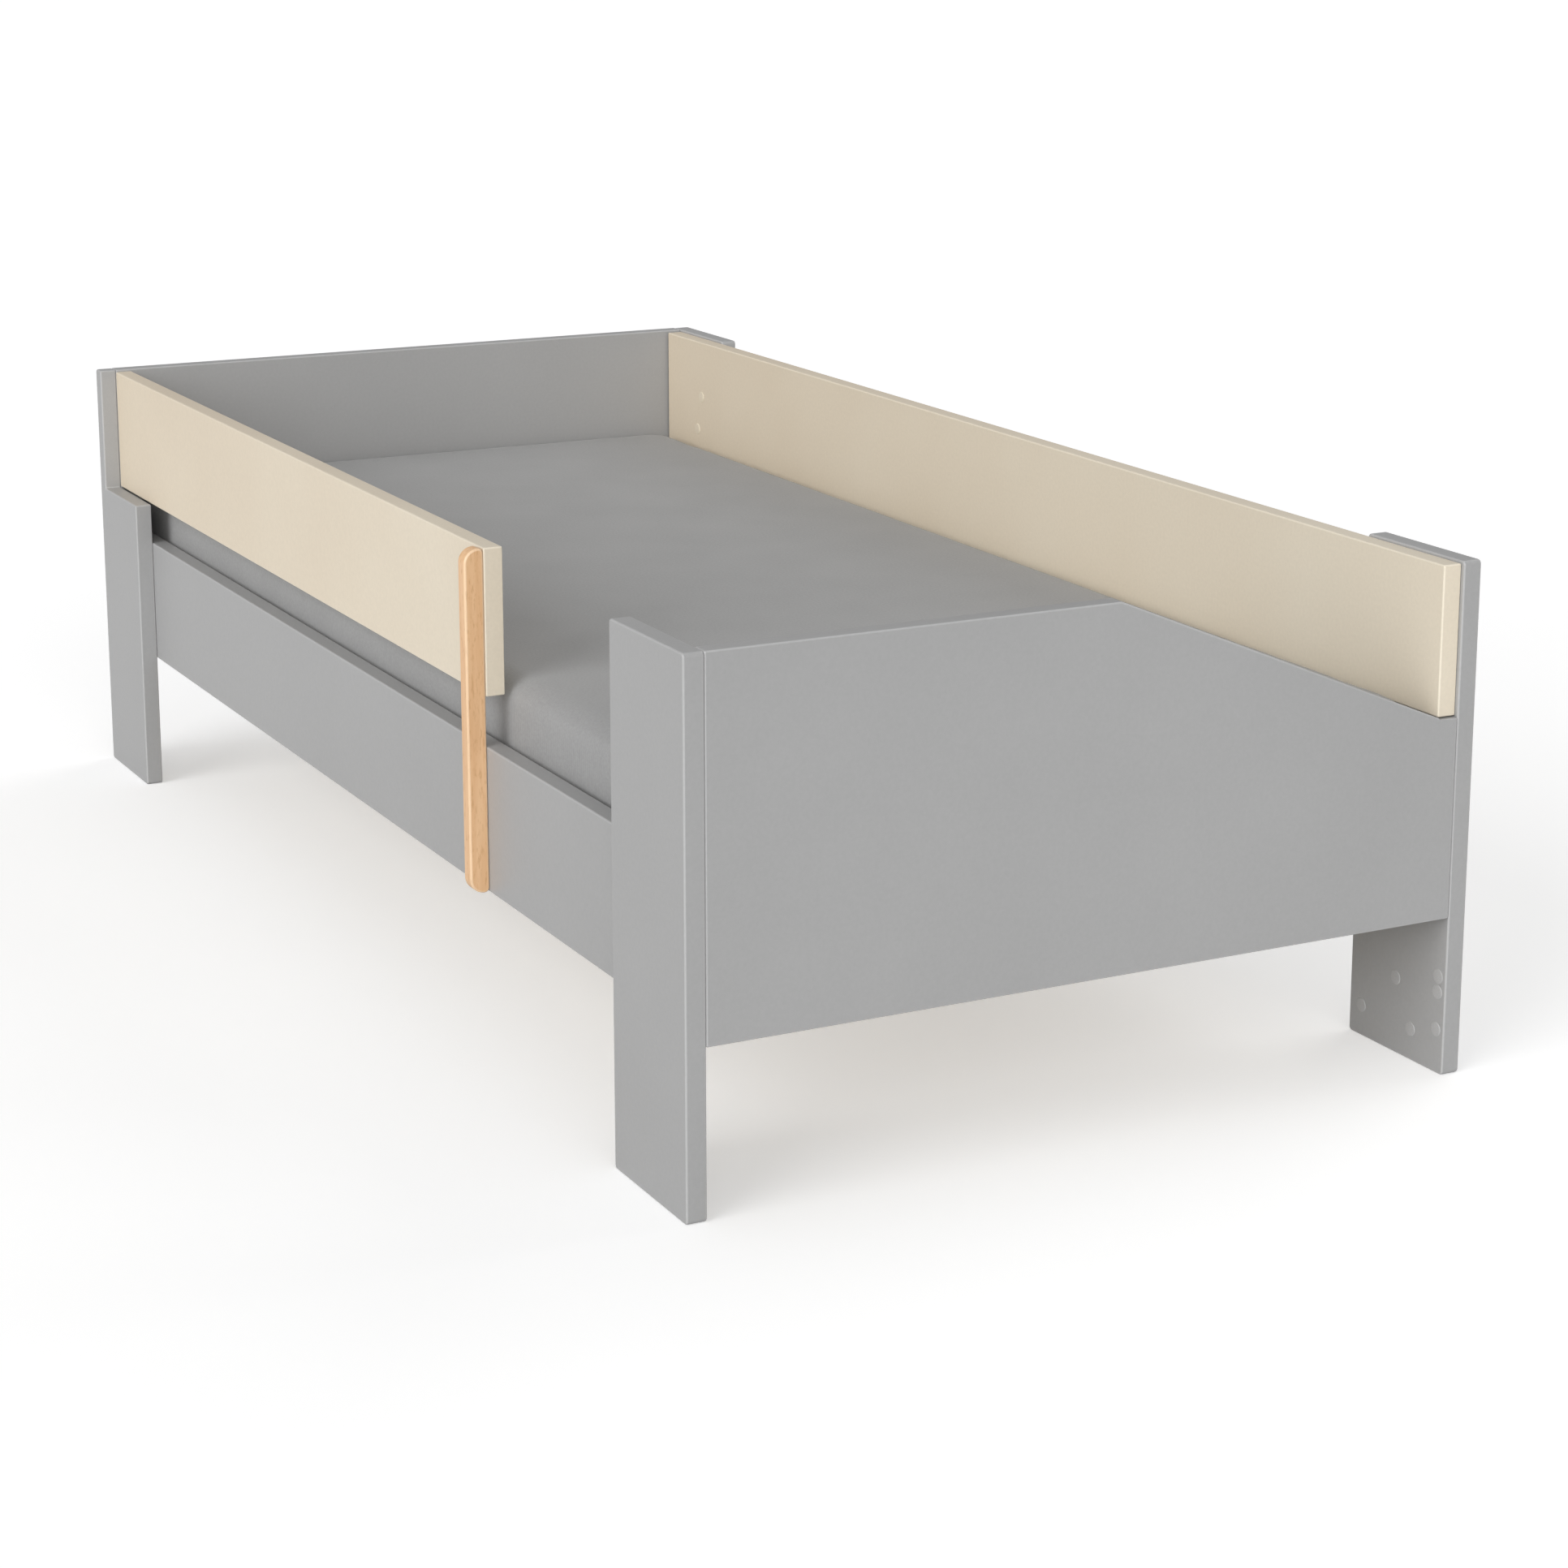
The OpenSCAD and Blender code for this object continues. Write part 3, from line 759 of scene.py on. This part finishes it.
stapled = add_node(
    tree, "GeometryNodeInstanceOnPoints", {"Points": row.outputs[0], "Instance": staple.outputs[0]}
)
close_tree(tree, stapled.outputs[0], given["Finish"])

staples = bmesh.new()
for side in (-1, 1):
    part = run_tree(
        tree,
        bpy.data.meshes.new("row"),
        Count=len(SLAT_NODES),
        First=(first_low[0] + slat_width / 2, side * tape_middle, tape_low[2]),
        Pitch=(pitch, 0.0, 0.0),
        Width=STAPLE_WIDE,
        Wire=STAPLE_WIRE,
        Finish=zinc,
    )
    staples.from_mesh(part)
staple_mesh = bpy.data.meshes.new("staples")
staples.to_mesh(staple_mesh)
staples.free()
staple_mesh.shade_smooth()
as_piece("tape_staples", staple_mesh, zinc, "slat_base")
print(2 * len(SLAT_NODES), "staples")

# %% [markdown]
# ## Cover caps and screws
# The bolts sit in counterbores that moulded caps close. A cap is a thin disc with a slightly domed
# face and a short stem, and the same cap plugs the spare holes near the floor, which are for
# building the bed at its other height. Screws have a cross recess and a thread. Both repeat, so a
# tree makes one and sets it wherever the CAD solid has one: the script reads the middle and the
# direction of each loose island of the node's mesh and hands them over as points.


# %% Where the fasteners are
def islands(node):
    """The points of each separate solid of a CAD node, as arrays of rows."""
    shape = merged(node)
    waiting = set(shape.verts)
    found = []
    while waiting:
        queue = [waiting.pop()]
        island = []
        while queue:
            vert = queue.pop()
            island.append(np.array(vert.co))
            for edge in vert.link_edges:
                other = edge.other_vert(vert)
                if other in waiting:
                    waiting.remove(other)
                    queue.append(other)
        found.append(np.array(island))
    shape.free()
    return found


# Points this near to a fastener's full radius are on its head
HEAD_SHARE = 0.97


def fastener_points(node, along=Y_AXIS):
    """A mesh of points at the heads' outer faces, with the direction out of the hole as axis.

    It takes the fasteners that lie along X or Y, and keeps their depth.
    """
    places, axes = [], []
    for points in islands(node):
        size = np.ptp(points, axis=0)
        # A round piece is about as wide as it is high, seen along its own direction
        if abs(size[1 - along] - size[2]) > abs(size[along] - size[2]):
            continue
        middle = (points.min(0) + points.max(0)) / 2
        reach = np.hypot(points[:, 1 - along] - middle[1 - along], points[:, 2] - middle[2])
        wide = points[reach > HEAD_SHARE * reach.max()]
        axis = np.zeros(3)
        axis[along] = 1.0 if wide[:, along].mean() > middle[along] else -1.0
        places.append(tuple(middle + axis * size[along] / 2))
        axes.append(tuple(axis))
        deep = float(size[along])
    mesh = bpy.data.meshes.new(node)
    mesh["deep"] = deep
    mesh.from_pydata(places, [], [])
    axis = mesh.attributes.new("axis", "FLOAT_VECTOR", "POINT")
    axis.data.foreach_set("vector", [number for one in axes for number in one])
    return mesh


def set_on_points(tree, points, instance):
    """Instances turned so that their Z is each point's axis."""
    axis = add_node(tree, "GeometryNodeInputNamedAttribute", {"Name": "axis"}, data_type="FLOAT_VECTOR")
    turn = add_node(tree, "FunctionNodeAlignRotationToVector", {"Vector": axis.outputs[0]}, axis="Z")
    place = add_node(
        tree,
        "GeometryNodeInstanceOnPoints",
        {"Points": points, "Instance": instance, "Rotation": turn.outputs[0]},
    )
    return place.outputs[0]


# %% Caps
CAP_RADIUS, CAP_RIM, CAP_DOME = 0.007, 0.0005, 0.0003
STEM_RADIUS, STEM_DEPTH = 0.0062, 0.003

caps_tree, given = open_tree(
    "cover_caps", Radius="Float", Rim="Float", Dome="Float", Stem="Float", Depth="Float", Finish="Material"
)
disc = add_node(
    caps_tree,
    "GeometryNodeMeshCone",
    {
        "Vertices": 40,
        "Fill Segments": 5,
        "Radius Bottom": given["Radius"],
        "Radius Top": maths(caps_tree, "SUBTRACT", given["Radius"], given["Rim"]),
        "Depth": given["Rim"],
    },
)
here = add_node(caps_tree, "GeometryNodeInputPosition").outputs[0]
spot = add_node(caps_tree, "ShaderNodeSeparateXYZ", {0: here})
squares = []
for part in ("X", "Y"):
    far = maths(caps_tree, "DIVIDE", spot.outputs[part], given["Radius"])
    squares.append(maths(caps_tree, "MULTIPLY", far, far))
far = maths(caps_tree, "ADD", *squares)
is_top = maths(caps_tree, "GREATER_THAN", spot.outputs["Z"], maths(caps_tree, "MULTIPLY", given["Rim"], 0.5))
rise = maths(caps_tree, "MULTIPLY", maths(caps_tree, "SUBTRACT", 1.0, far), given["Dome"])
domed = add_node(
    caps_tree,
    "GeometryNodeSetPosition",
    {"Geometry": disc.outputs[0], "Offset": vector(caps_tree, Z=maths(caps_tree, "MULTIPLY", rise, is_top))},
)
down = maths(caps_tree, "MULTIPLY", maths(caps_tree, "ADD", given["Rim"], given["Dome"]), -1.0)
stem = add_node(
    caps_tree,
    "GeometryNodeMeshCylinder",
    {"Vertices": 40, "Radius": given["Stem"], "Depth": given["Depth"]},
)
stem_down = maths(caps_tree, "MULTIPLY_ADD", given["Depth"], -0.5, down)
cap = joined(
    caps_tree,
    moved(caps_tree, domed.outputs[0], Translation=vector(caps_tree, Z=down)),
    moved(caps_tree, stem.outputs[0], Translation=vector(caps_tree, Z=stem_down)),
)
close_tree(caps_tree, set_on_points(caps_tree, given["Geometry"], cap), given["Finish"])

CAPS = [
    ("side_caps", grey_plastic, "grey_cap"),
    ("rail_caps", cream_plastic, "cream_cap"),
    ("spare_hole_plugs", grey_plastic, "grey_cap"),
]
for node, finish, slot in CAPS:
    points = fastener_points(node)
    count = len(points.vertices)
    mesh = run_tree(
        caps_tree,
        points,
        Radius=CAP_RADIUS,
        Rim=CAP_RIM,
        Dome=CAP_DOME,
        Stem=STEM_RADIUS,
        Depth=STEM_DEPTH,
        Finish=finish,
    )
    mesh.shade_smooth()
    mesh.set_sharp_from_angle(angle=math.radians(30))
    as_piece(node + "_moulded", mesh, finish, "frame", [node])
    print(count, node)

# %% Screws with a cross recess and a thread
HEAD_RADIUS, HEAD_HEIGHT = 0.00425, 0.003
SHANK_RADIUS, THREAD_WIRE, THREAD_PITCH = 0.0015, 0.00045, 0.0018
RECESS_LONG, RECESS_WIDE, RECESS_DEEP = 0.0048, 0.0011, 0.0018
# Where the shank starts, inside the head
SHANK_START = -0.002

screw_tree, given = open_tree(
    "wood_screws",
    Length="Float",
    Turns="Float",
    Head="Float",
    Height="Float",
    Shank="Float",
    Finish="Material",
)
head = add_node(
    screw_tree,
    "GeometryNodeMeshCone",
    {"Vertices": 32, "Radius Bottom": given["Shank"], "Radius Top": given["Head"], "Depth": given["Height"]},
)
head_down = vector(screw_tree, Z=maths(screw_tree, "MULTIPLY", given["Height"], -1.0))
slots = [
    add_node(screw_tree, "GeometryNodeMeshCube", {"Size": (long, wide, 2 * RECESS_DEEP)}).outputs[0]
    for long, wide in ((RECESS_LONG, RECESS_WIDE), (RECESS_WIDE, RECESS_LONG))
]
recessed = add_node(
    screw_tree,
    "GeometryNodeMeshBoolean",
    {"Mesh 1": moved(screw_tree, head.outputs[0], Translation=head_down), "Mesh 2": slots[0]},
    operation="DIFFERENCE",
)
screw_tree.links.new(slots[1], recessed.inputs["Mesh 2"])
shank = add_node(
    screw_tree,
    "GeometryNodeMeshCylinder",
    {"Vertices": 24, "Radius": given["Shank"], "Depth": given["Length"]},
)
shank_down = vector(screw_tree, Z=maths(screw_tree, "MULTIPLY_ADD", given["Length"], -0.5, SHANK_START))
spiral = add_node(
    screw_tree,
    "GeometryNodeCurveSpiral",
    {
        "Resolution": 14,
        "Rotations": given["Turns"],
        "Start Radius": given["Shank"],
        "End Radius": given["Shank"],
        "Height": given["Length"],
    },
)
ridge = add_node(screw_tree, "GeometryNodeCurvePrimitiveCircle", {"Resolution": 6, "Radius": THREAD_WIRE})
thread_mesh = add_node(
    screw_tree,
    "GeometryNodeCurveToMesh",
    {"Curve": spiral.outputs[0], "Profile Curve": ridge.outputs[0], "Fill Caps": True},
)
thread_down = vector(screw_tree, Z=maths(screw_tree, "MULTIPLY_ADD", given["Length"], -1.0, SHANK_START))
screw = joined(
    screw_tree,
    recessed.outputs[0],
    moved(screw_tree, shank.outputs[0], Translation=shank_down),
    moved(screw_tree, thread_mesh.outputs[0], Translation=thread_down),
)
close_tree(screw_tree, set_on_points(screw_tree, given["Geometry"], screw), given["Finish"])

SCREWS = [
    # piece, CAD node, direction of the screws. The short rail's end screws share the rail_screws node.
    ("rail_screws", "rail_screws", Y_AXIS),
    ("rail_end_screws", "rail_screws", X_AXIS),
    ("strip_screws", "strip_screws", Y_AXIS),
    ("ledger_screws", "ledger_screws", Y_AXIS),
]
for name, node, along in SCREWS:
    points = fastener_points(node, along)
    length = points["deep"] - HEAD_HEIGHT
    mesh = run_tree(
        screw_tree,
        points,
        Length=length,
        Turns=length / THREAD_PITCH,
        Head=HEAD_RADIUS,
        Height=HEAD_HEIGHT,
        Shank=SHANK_RADIUS,
        Finish=zinc,
    )
    mesh.shade_smooth()
    mesh.set_sharp_from_angle(angle=math.radians(35))
    as_piece(name + "_threaded", mesh, zinc, "frame", [node] if node == name else [])
    print(name, len(mesh.polygons), "faces,", round(length * 1000, 1), "mm of shank")

# %% [markdown]
# ## Fasteners kept as the CAD solids
# Bolts, inserts, cams, studs and dowels are hidden in the boards, or show only a face that the CAD
# model already has. They keep their meshes and take a real finish.

# %% Finishes of the carried-over nodes
CARRIED = {
    "side_bolts": zinc,
    "rail_bolts_m6": zinc,
    "leg_inserts": brass,
    "cam_locks": cast_zinc,
    "cam_studs": zinc,
    "end_dowels": dowel_beech,
}
for node, finish in CARRIED.items():
    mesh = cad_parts[node].data
    mesh.materials.clear()
    mesh.materials.append(finish)
print(len(CARRIED), "nodes carried over")

# %% [markdown]
# ## The mattress
# The core is one block of foam. Over it goes a ticking cover, quilted to a thin wadding, which is
# what rounds the long edges: foam is cut square, and the cover pulls it round. A foam mattress is
# nearly flat, so the cover starts as a block of almost its full size. A cloth simulation blows it
# up with air pressure, and the swell is held to 3 mm. It comes out slightly crowned on top, soft at
# the edges and flat where it lies on the slats.

# %% Foam core
CORE_EDGE = 0.026
CORE_CORNER = 0.034

core_mesh = soft_edged("mattress_core", CORE_EDGE, CORE_CORNER, segments=4)
as_piece("foam_core", core_mesh, foam, "mattress", ["mattress_core"])
print("foam core", len(core_mesh.polygons), "faces")


# %% Shape of the cover before it is blown up
SIDE_EASE = 0.001
TOP_EASE = 0.0015
COVER_CORNER = 0.030
COVER_EDGE = 0.013
COVER_VOXEL = 0.008
UNDERSIDE_LIFT = 0.0008


def rounded_block(low, high, corner, edge):
    """A box with round upright corners and softer rounds along its upper and lower edges."""
    shape = bmesh.new()
    bmesh.ops.create_cube(shape, size=1.0)
    for vert in shape.verts:
        vert.co = Vector([(a + b) / 2 + (b - a) * c for a, b, c in zip(low, high, vert.co)])
    upright = [e for e in shape.edges if abs(e.verts[0].co.z - e.verts[1].co.z) > 1e-6]
    bmesh.ops.bevel(shape, geom=upright, offset=corner, segments=6, profile=0.5, affect="EDGES")
    flat = [e for e in shape.edges if e.calc_face_angle(0.0) > SHARP]
    bmesh.ops.bevel(shape, geom=flat, offset=edge, segments=5, profile=0.5, affect="EDGES")
    return shape


def plain_mesh(name, shape):
    """Frees a bmesh into a new mesh."""
    mesh = bpy.data.meshes.new(name)
    shape.to_mesh(mesh)
    shape.free()
    return mesh


cover_low = Vector(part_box("cover_base")[0]) + Vector((0, 0, UNDERSIDE_LIFT))
cover_high = Vector(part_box("cover_top")[1])
start_low = cover_low - Vector((SIDE_EASE, SIDE_EASE, 0))
start_high = cover_high + Vector((SIDE_EASE, SIDE_EASE, TOP_EASE))
start_mesh = plain_mesh("cover", rounded_block(start_low, start_high, COVER_CORNER, COVER_EDGE))
pad = bpy.data.objects.new("pad", start_mesh)
bpy.context.scene.collection.objects.link(pad)
remesh = pad.modifiers.new("remesh", "REMESH")
remesh.mode = "VOXEL"
remesh.voxel_size = COVER_VOXEL
start_mesh = evaluated_mesh(pad)
print("cover before it is blown up", len(start_mesh.vertices), "points")

# %% Blow the cover up
PRESSURE = 4.0
STIFFNESS = 60.0
LAST_FRAME = 20
SWELL_CAP = 0.003


def points_of(mesh):
    """The mesh's points as an array of rows."""
    flat = np.empty(len(mesh.vertices) * 3)
    mesh.vertices.foreach_get("co", flat)
    return flat.reshape(-1, 3)


def inflated(mesh):
    """Where air pressure moves the points, by Blender's cloth."""
    bag = bpy.data.objects.new("bag", mesh.copy())
    bpy.context.scene.collection.objects.link(bag)
    cloth_sim = bag.modifiers.new("cloth", "CLOTH")
    cloth_sim.settings.use_pressure = True
    cloth_sim.settings.uniform_pressure_force = PRESSURE
    cloth_sim.settings.tension_stiffness = cloth_sim.settings.compression_stiffness = STIFFNESS
    cloth_sim.settings.effector_weights.gravity = 0.0
    cloth_sim.point_cache.frame_start = 1
    cloth_sim.point_cache.frame_end = LAST_FRAME
    for number in range(1, LAST_FRAME + 1):
        bpy.context.scene.frame_set(number)
    swollen = points_of(evaluated_mesh(bag))
    bpy.context.scene.frame_set(1)
    return swollen


before = points_of(start_mesh)
outward = np.array([tuple(normal.vector) for normal in start_mesh.vertex_normals])
swell = ((inflated(start_mesh) - before) * outward).sum(axis=1)
# The foam stops the cover from going in, and the ticking's stretch levels off at the cap
kept = SWELL_CAP * np.tanh(np.maximum(swell, 0.0) / SWELL_CAP)
settled = before + outward * kept[:, None]
settled[:, 2] = np.maximum(settled[:, 2], cover_low.z)
start_mesh.vertices.foreach_set("co", settled.ravel())
start_mesh.update()
print("swell kept to", round(float(kept.max()) * 1000, 1), "mm")


# %% The finished cover
def modified(mesh, kind, **settings):
    """The mesh with one modifier applied."""
    holder = bpy.data.objects.new("holder", mesh)
    bpy.context.scene.collection.objects.link(holder)
    modifier = holder.modifiers.new(kind.lower(), kind)
    for key, value in settings.items():
        setattr(modifier, key, value)
    return evaluated_mesh(holder)


cover_mesh = modified(start_mesh, "SMOOTH", factor=0.5, iterations=1)
cover_mesh.shade_smooth()
cover = as_piece("mattress_cover", cover_mesh, ticking, "mattress", ["cover_top", "cover_base"])
print("mattress cover", len(cover_mesh.polygons), "faces")

# %% [markdown]
# ## The fitted sheet
# A fitted sheet is cut as a rectangle with its four corners taken out, sewn up at the corners and
# gathered underneath by an elastic. It is stretched over the mattress, so it follows the cover. The
# lesson takes the cover's surface, lets it out by the sheet's thickness, cuts the opening under the
# mattress, and adds the slow waves that a stretched knit keeps. The elastic is a second tree, which
# follows the edge of that opening, and the zigzag seams that close the corners are a third: they
# swing a thread from side to side of a line laid on the sheet's surface.

# %% Sheet with its opening
SHEET_CLEAR = 0.0002
SHEET_THICK = 0.0008
HEM = 0.09
# Faces that look down by more than this are the underside
FACING_DOWN = -0.9
# Slow waves: their height, scale, and the direction past which the underside has none
WAVE_HIGH, WAVE_SCALE, WAVE_DOWN = 0.0005, 9.0, -0.5

sheet_low, sheet_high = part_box("fitted_sheet")
sheet_shape = bmesh.new()
sheet_shape.from_mesh(cover_mesh)
sheet_shape.normal_update()
for vert in sheet_shape.verts:
    vert.co += vert.normal * SHEET_CLEAR
under = [
    face
    for face in sheet_shape.faces
    if face.normal.z < FACING_DOWN
    and abs(face.calc_center_median().x) < sheet_high[0] - HEM
    and abs(face.calc_center_median().y) < sheet_high[1] - HEM
]
bmesh.ops.delete(sheet_shape, geom=under, context="FACES")
open_sheet = plain_mesh("sheet", sheet_shape)

tree, given = open_tree("stretched_knit", Height="Float", Size="Float", Finish="Material")
here = add_node(tree, "GeometryNodeInputPosition").outputs[0]
waves = add_node(tree, "ShaderNodeTexNoise", {"Vector": here, "Scale": given["Size"], "Detail": 2.0})
up = add_node(tree, "GeometryNodeInputNormal").outputs[0]
facing = add_node(tree, "ShaderNodeSeparateXYZ", {0: up}).outputs["Z"]
not_under = maths(tree, "GREATER_THAN", facing, WAVE_DOWN)
amount = maths(tree, "MULTIPLY", maths(tree, "MULTIPLY", waves.outputs[0], given["Height"]), not_under)
offset = add_node(tree, "ShaderNodeVectorMath", {0: up, "Scale": amount}, operation="SCALE")
waved = add_node(
    tree, "GeometryNodeSetPosition", {"Geometry": given["Geometry"], "Offset": offset.outputs[0]}
)
close_tree(tree, waved.outputs[0], given["Finish"])
waved_sheet = run_tree(tree, open_sheet.copy(), Height=2 * WAVE_HIGH, Size=WAVE_SCALE, Finish=jersey)

sheet_mesh = modified(waved_sheet, "SOLIDIFY", thickness=SHEET_THICK, offset=1.0)
sheet_mesh.shade_smooth()
sheet = as_piece("jersey_sheet", sheet_mesh, jersey, "mattress", ["fitted_sheet"])
print("sheet", len(sheet_mesh.polygons), "faces, hem", HEM * 1000, "mm")

# %% Elastic in the hem
ELASTIC_WIDE = 0.010
ELASTIC_THICK = 0.0007
GATHER_LONG = 0.014
GATHER_HIGH = 0.0004

tree, given = open_tree(
    "gathered_elastic", Wide="Float", Thick="Float", Pitch="Float", Height="Float", Finish="Material"
)
neighbours = add_node(tree, "GeometryNodeInputMeshEdgeNeighbors").outputs[0]
is_rim = maths(tree, "COMPARE", neighbours, 1.0, 0.1)
rim = add_node(tree, "GeometryNodeMeshToCurve", {"Mesh": given["Geometry"], "Selection": is_rim})
even = add_node(
    tree,
    "GeometryNodeResampleCurve",
    {"Curve": rim.outputs[0], "Length": maths(tree, "MULTIPLY", given["Pitch"], 0.25)},
    mode="LENGTH",
)
along = add_node(tree, "GeometryNodeSplineParameter").outputs["Length"]
turn = maths(tree, "DIVIDE", maths(tree, "MULTIPLY", along, 2 * math.pi), given["Pitch"])
height = maths(tree, "MULTIPLY", maths(tree, "SINE", turn), given["Height"])
gathered = add_node(
    tree, "GeometryNodeSetPosition", {"Geometry": even.outputs[0], "Offset": vector(tree, Z=height)}
)
level = add_node(tree, "GeometryNodeSetCurveNormal", {"Curve": gathered.outputs[0]}, mode="Z_UP")
band = add_node(
    tree,
    "GeometryNodeCurvePrimitiveQuadrilateral",
    {"Width": given["Wide"], "Height": given["Thick"]},
)
elastic = add_node(
    tree, "GeometryNodeCurveToMesh", {"Curve": level.outputs[0], "Profile Curve": band.outputs[0]}
)
close_tree(tree, elastic.outputs[0], given["Finish"])
hem_mesh = run_tree(
    tree,
    open_sheet,
    Wide=ELASTIC_WIDE,
    Thick=ELASTIC_THICK,
    Pitch=GATHER_LONG,
    Height=GATHER_HIGH,
    Finish=jersey,
)
hem = as_piece("sheet_elastic", hem_mesh, jersey, "mattress")
print("elastic", len(hem_mesh.polygons), "faces")

# %% Zigzag seams at the sheet's four corners
SEAM_POINTS = 24
SEAM_TOP, SEAM_FOOT = 0.010, 0.008
STITCH_STEP = 0.0024
STITCH_WIDE = 0.0016
THREAD_RADIUS = 0.00035

surface = BVHTree.FromPolygons(
    [vert.co for vert in sheet_mesh.vertices], [tuple(face.vertices) for face in sheet_mesh.polygons]
)
seam_points, seam_edges, seam_out = [], [], []
for side_x in (-1, 1):
    for side_y in (-1, 1):
        for height in np.linspace(sheet_low[2] + SEAM_FOOT, sheet_high[2] - SEAM_TOP, SEAM_POINTS):
            outside = Vector((side_x * sheet_high[0], side_y * sheet_high[1], height))
            near, normal = surface.find_nearest(outside)[:2]
            seam_points.append(tuple(near))
            seam_out.extend(normal)
        last = len(seam_points) - 1
        seam_edges += [(i, i + 1) for i in range(last - SEAM_POINTS + 1, last)]
seam_lines = bpy.data.meshes.new("seams")
seam_lines.from_pydata(seam_points, seam_edges, [])
seam_lines.attributes.new("out", "FLOAT_VECTOR", "POINT").data.foreach_set("vector", seam_out)

tree, given = open_tree("zigzag_seam", Step="Float", Wide="Float", Thick="Float", Finish="Material")
line = add_node(tree, "GeometryNodeMeshToCurve", {"Mesh": given["Geometry"]})
steps = add_node(
    tree, "GeometryNodeResampleCurve", {"Curve": line.outputs[0], "Length": given["Step"]}, mode="LENGTH"
)
ahead = add_node(tree, "GeometryNodeInputTangent").outputs[0]
out = add_node(tree, "GeometryNodeInputNamedAttribute", {"Name": "out"}, data_type="FLOAT_VECTOR")
across = add_node(tree, "ShaderNodeVectorMath", {0: ahead, 1: out.outputs[0]}, operation="CROSS_PRODUCT")
odd = maths(tree, "MODULO", add_node(tree, "GeometryNodeInputIndex").outputs[0], 2.0)
reach = maths(tree, "MULTIPLY", maths(tree, "SUBTRACT", odd, 0.5), given["Wide"])
sway = add_node(tree, "ShaderNodeVectorMath", {0: across.outputs[0], "Scale": reach}, operation="SCALE")
zigzag = add_node(tree, "GeometryNodeSetPosition", {"Geometry": steps.outputs[0], "Offset": sway.outputs[0]})
strand = add_node(tree, "GeometryNodeCurvePrimitiveCircle", {"Resolution": 6, "Radius": given["Thick"]})
sewn = add_node(
    tree,
    "GeometryNodeCurveToMesh",
    {"Curve": zigzag.outputs[0], "Profile Curve": strand.outputs[0], "Fill Caps": True},
)
close_tree(tree, sewn.outputs[0], given["Finish"])
seam_mesh = run_tree(
    tree, seam_lines, Step=STITCH_STEP, Wide=2 * STITCH_WIDE, Thick=THREAD_RADIUS, Finish=thread
)
seams = as_piece("sheet_corner_seams", seam_mesh, thread, "mattress")
print("corner seams", len(seam_mesh.polygons), "faces")
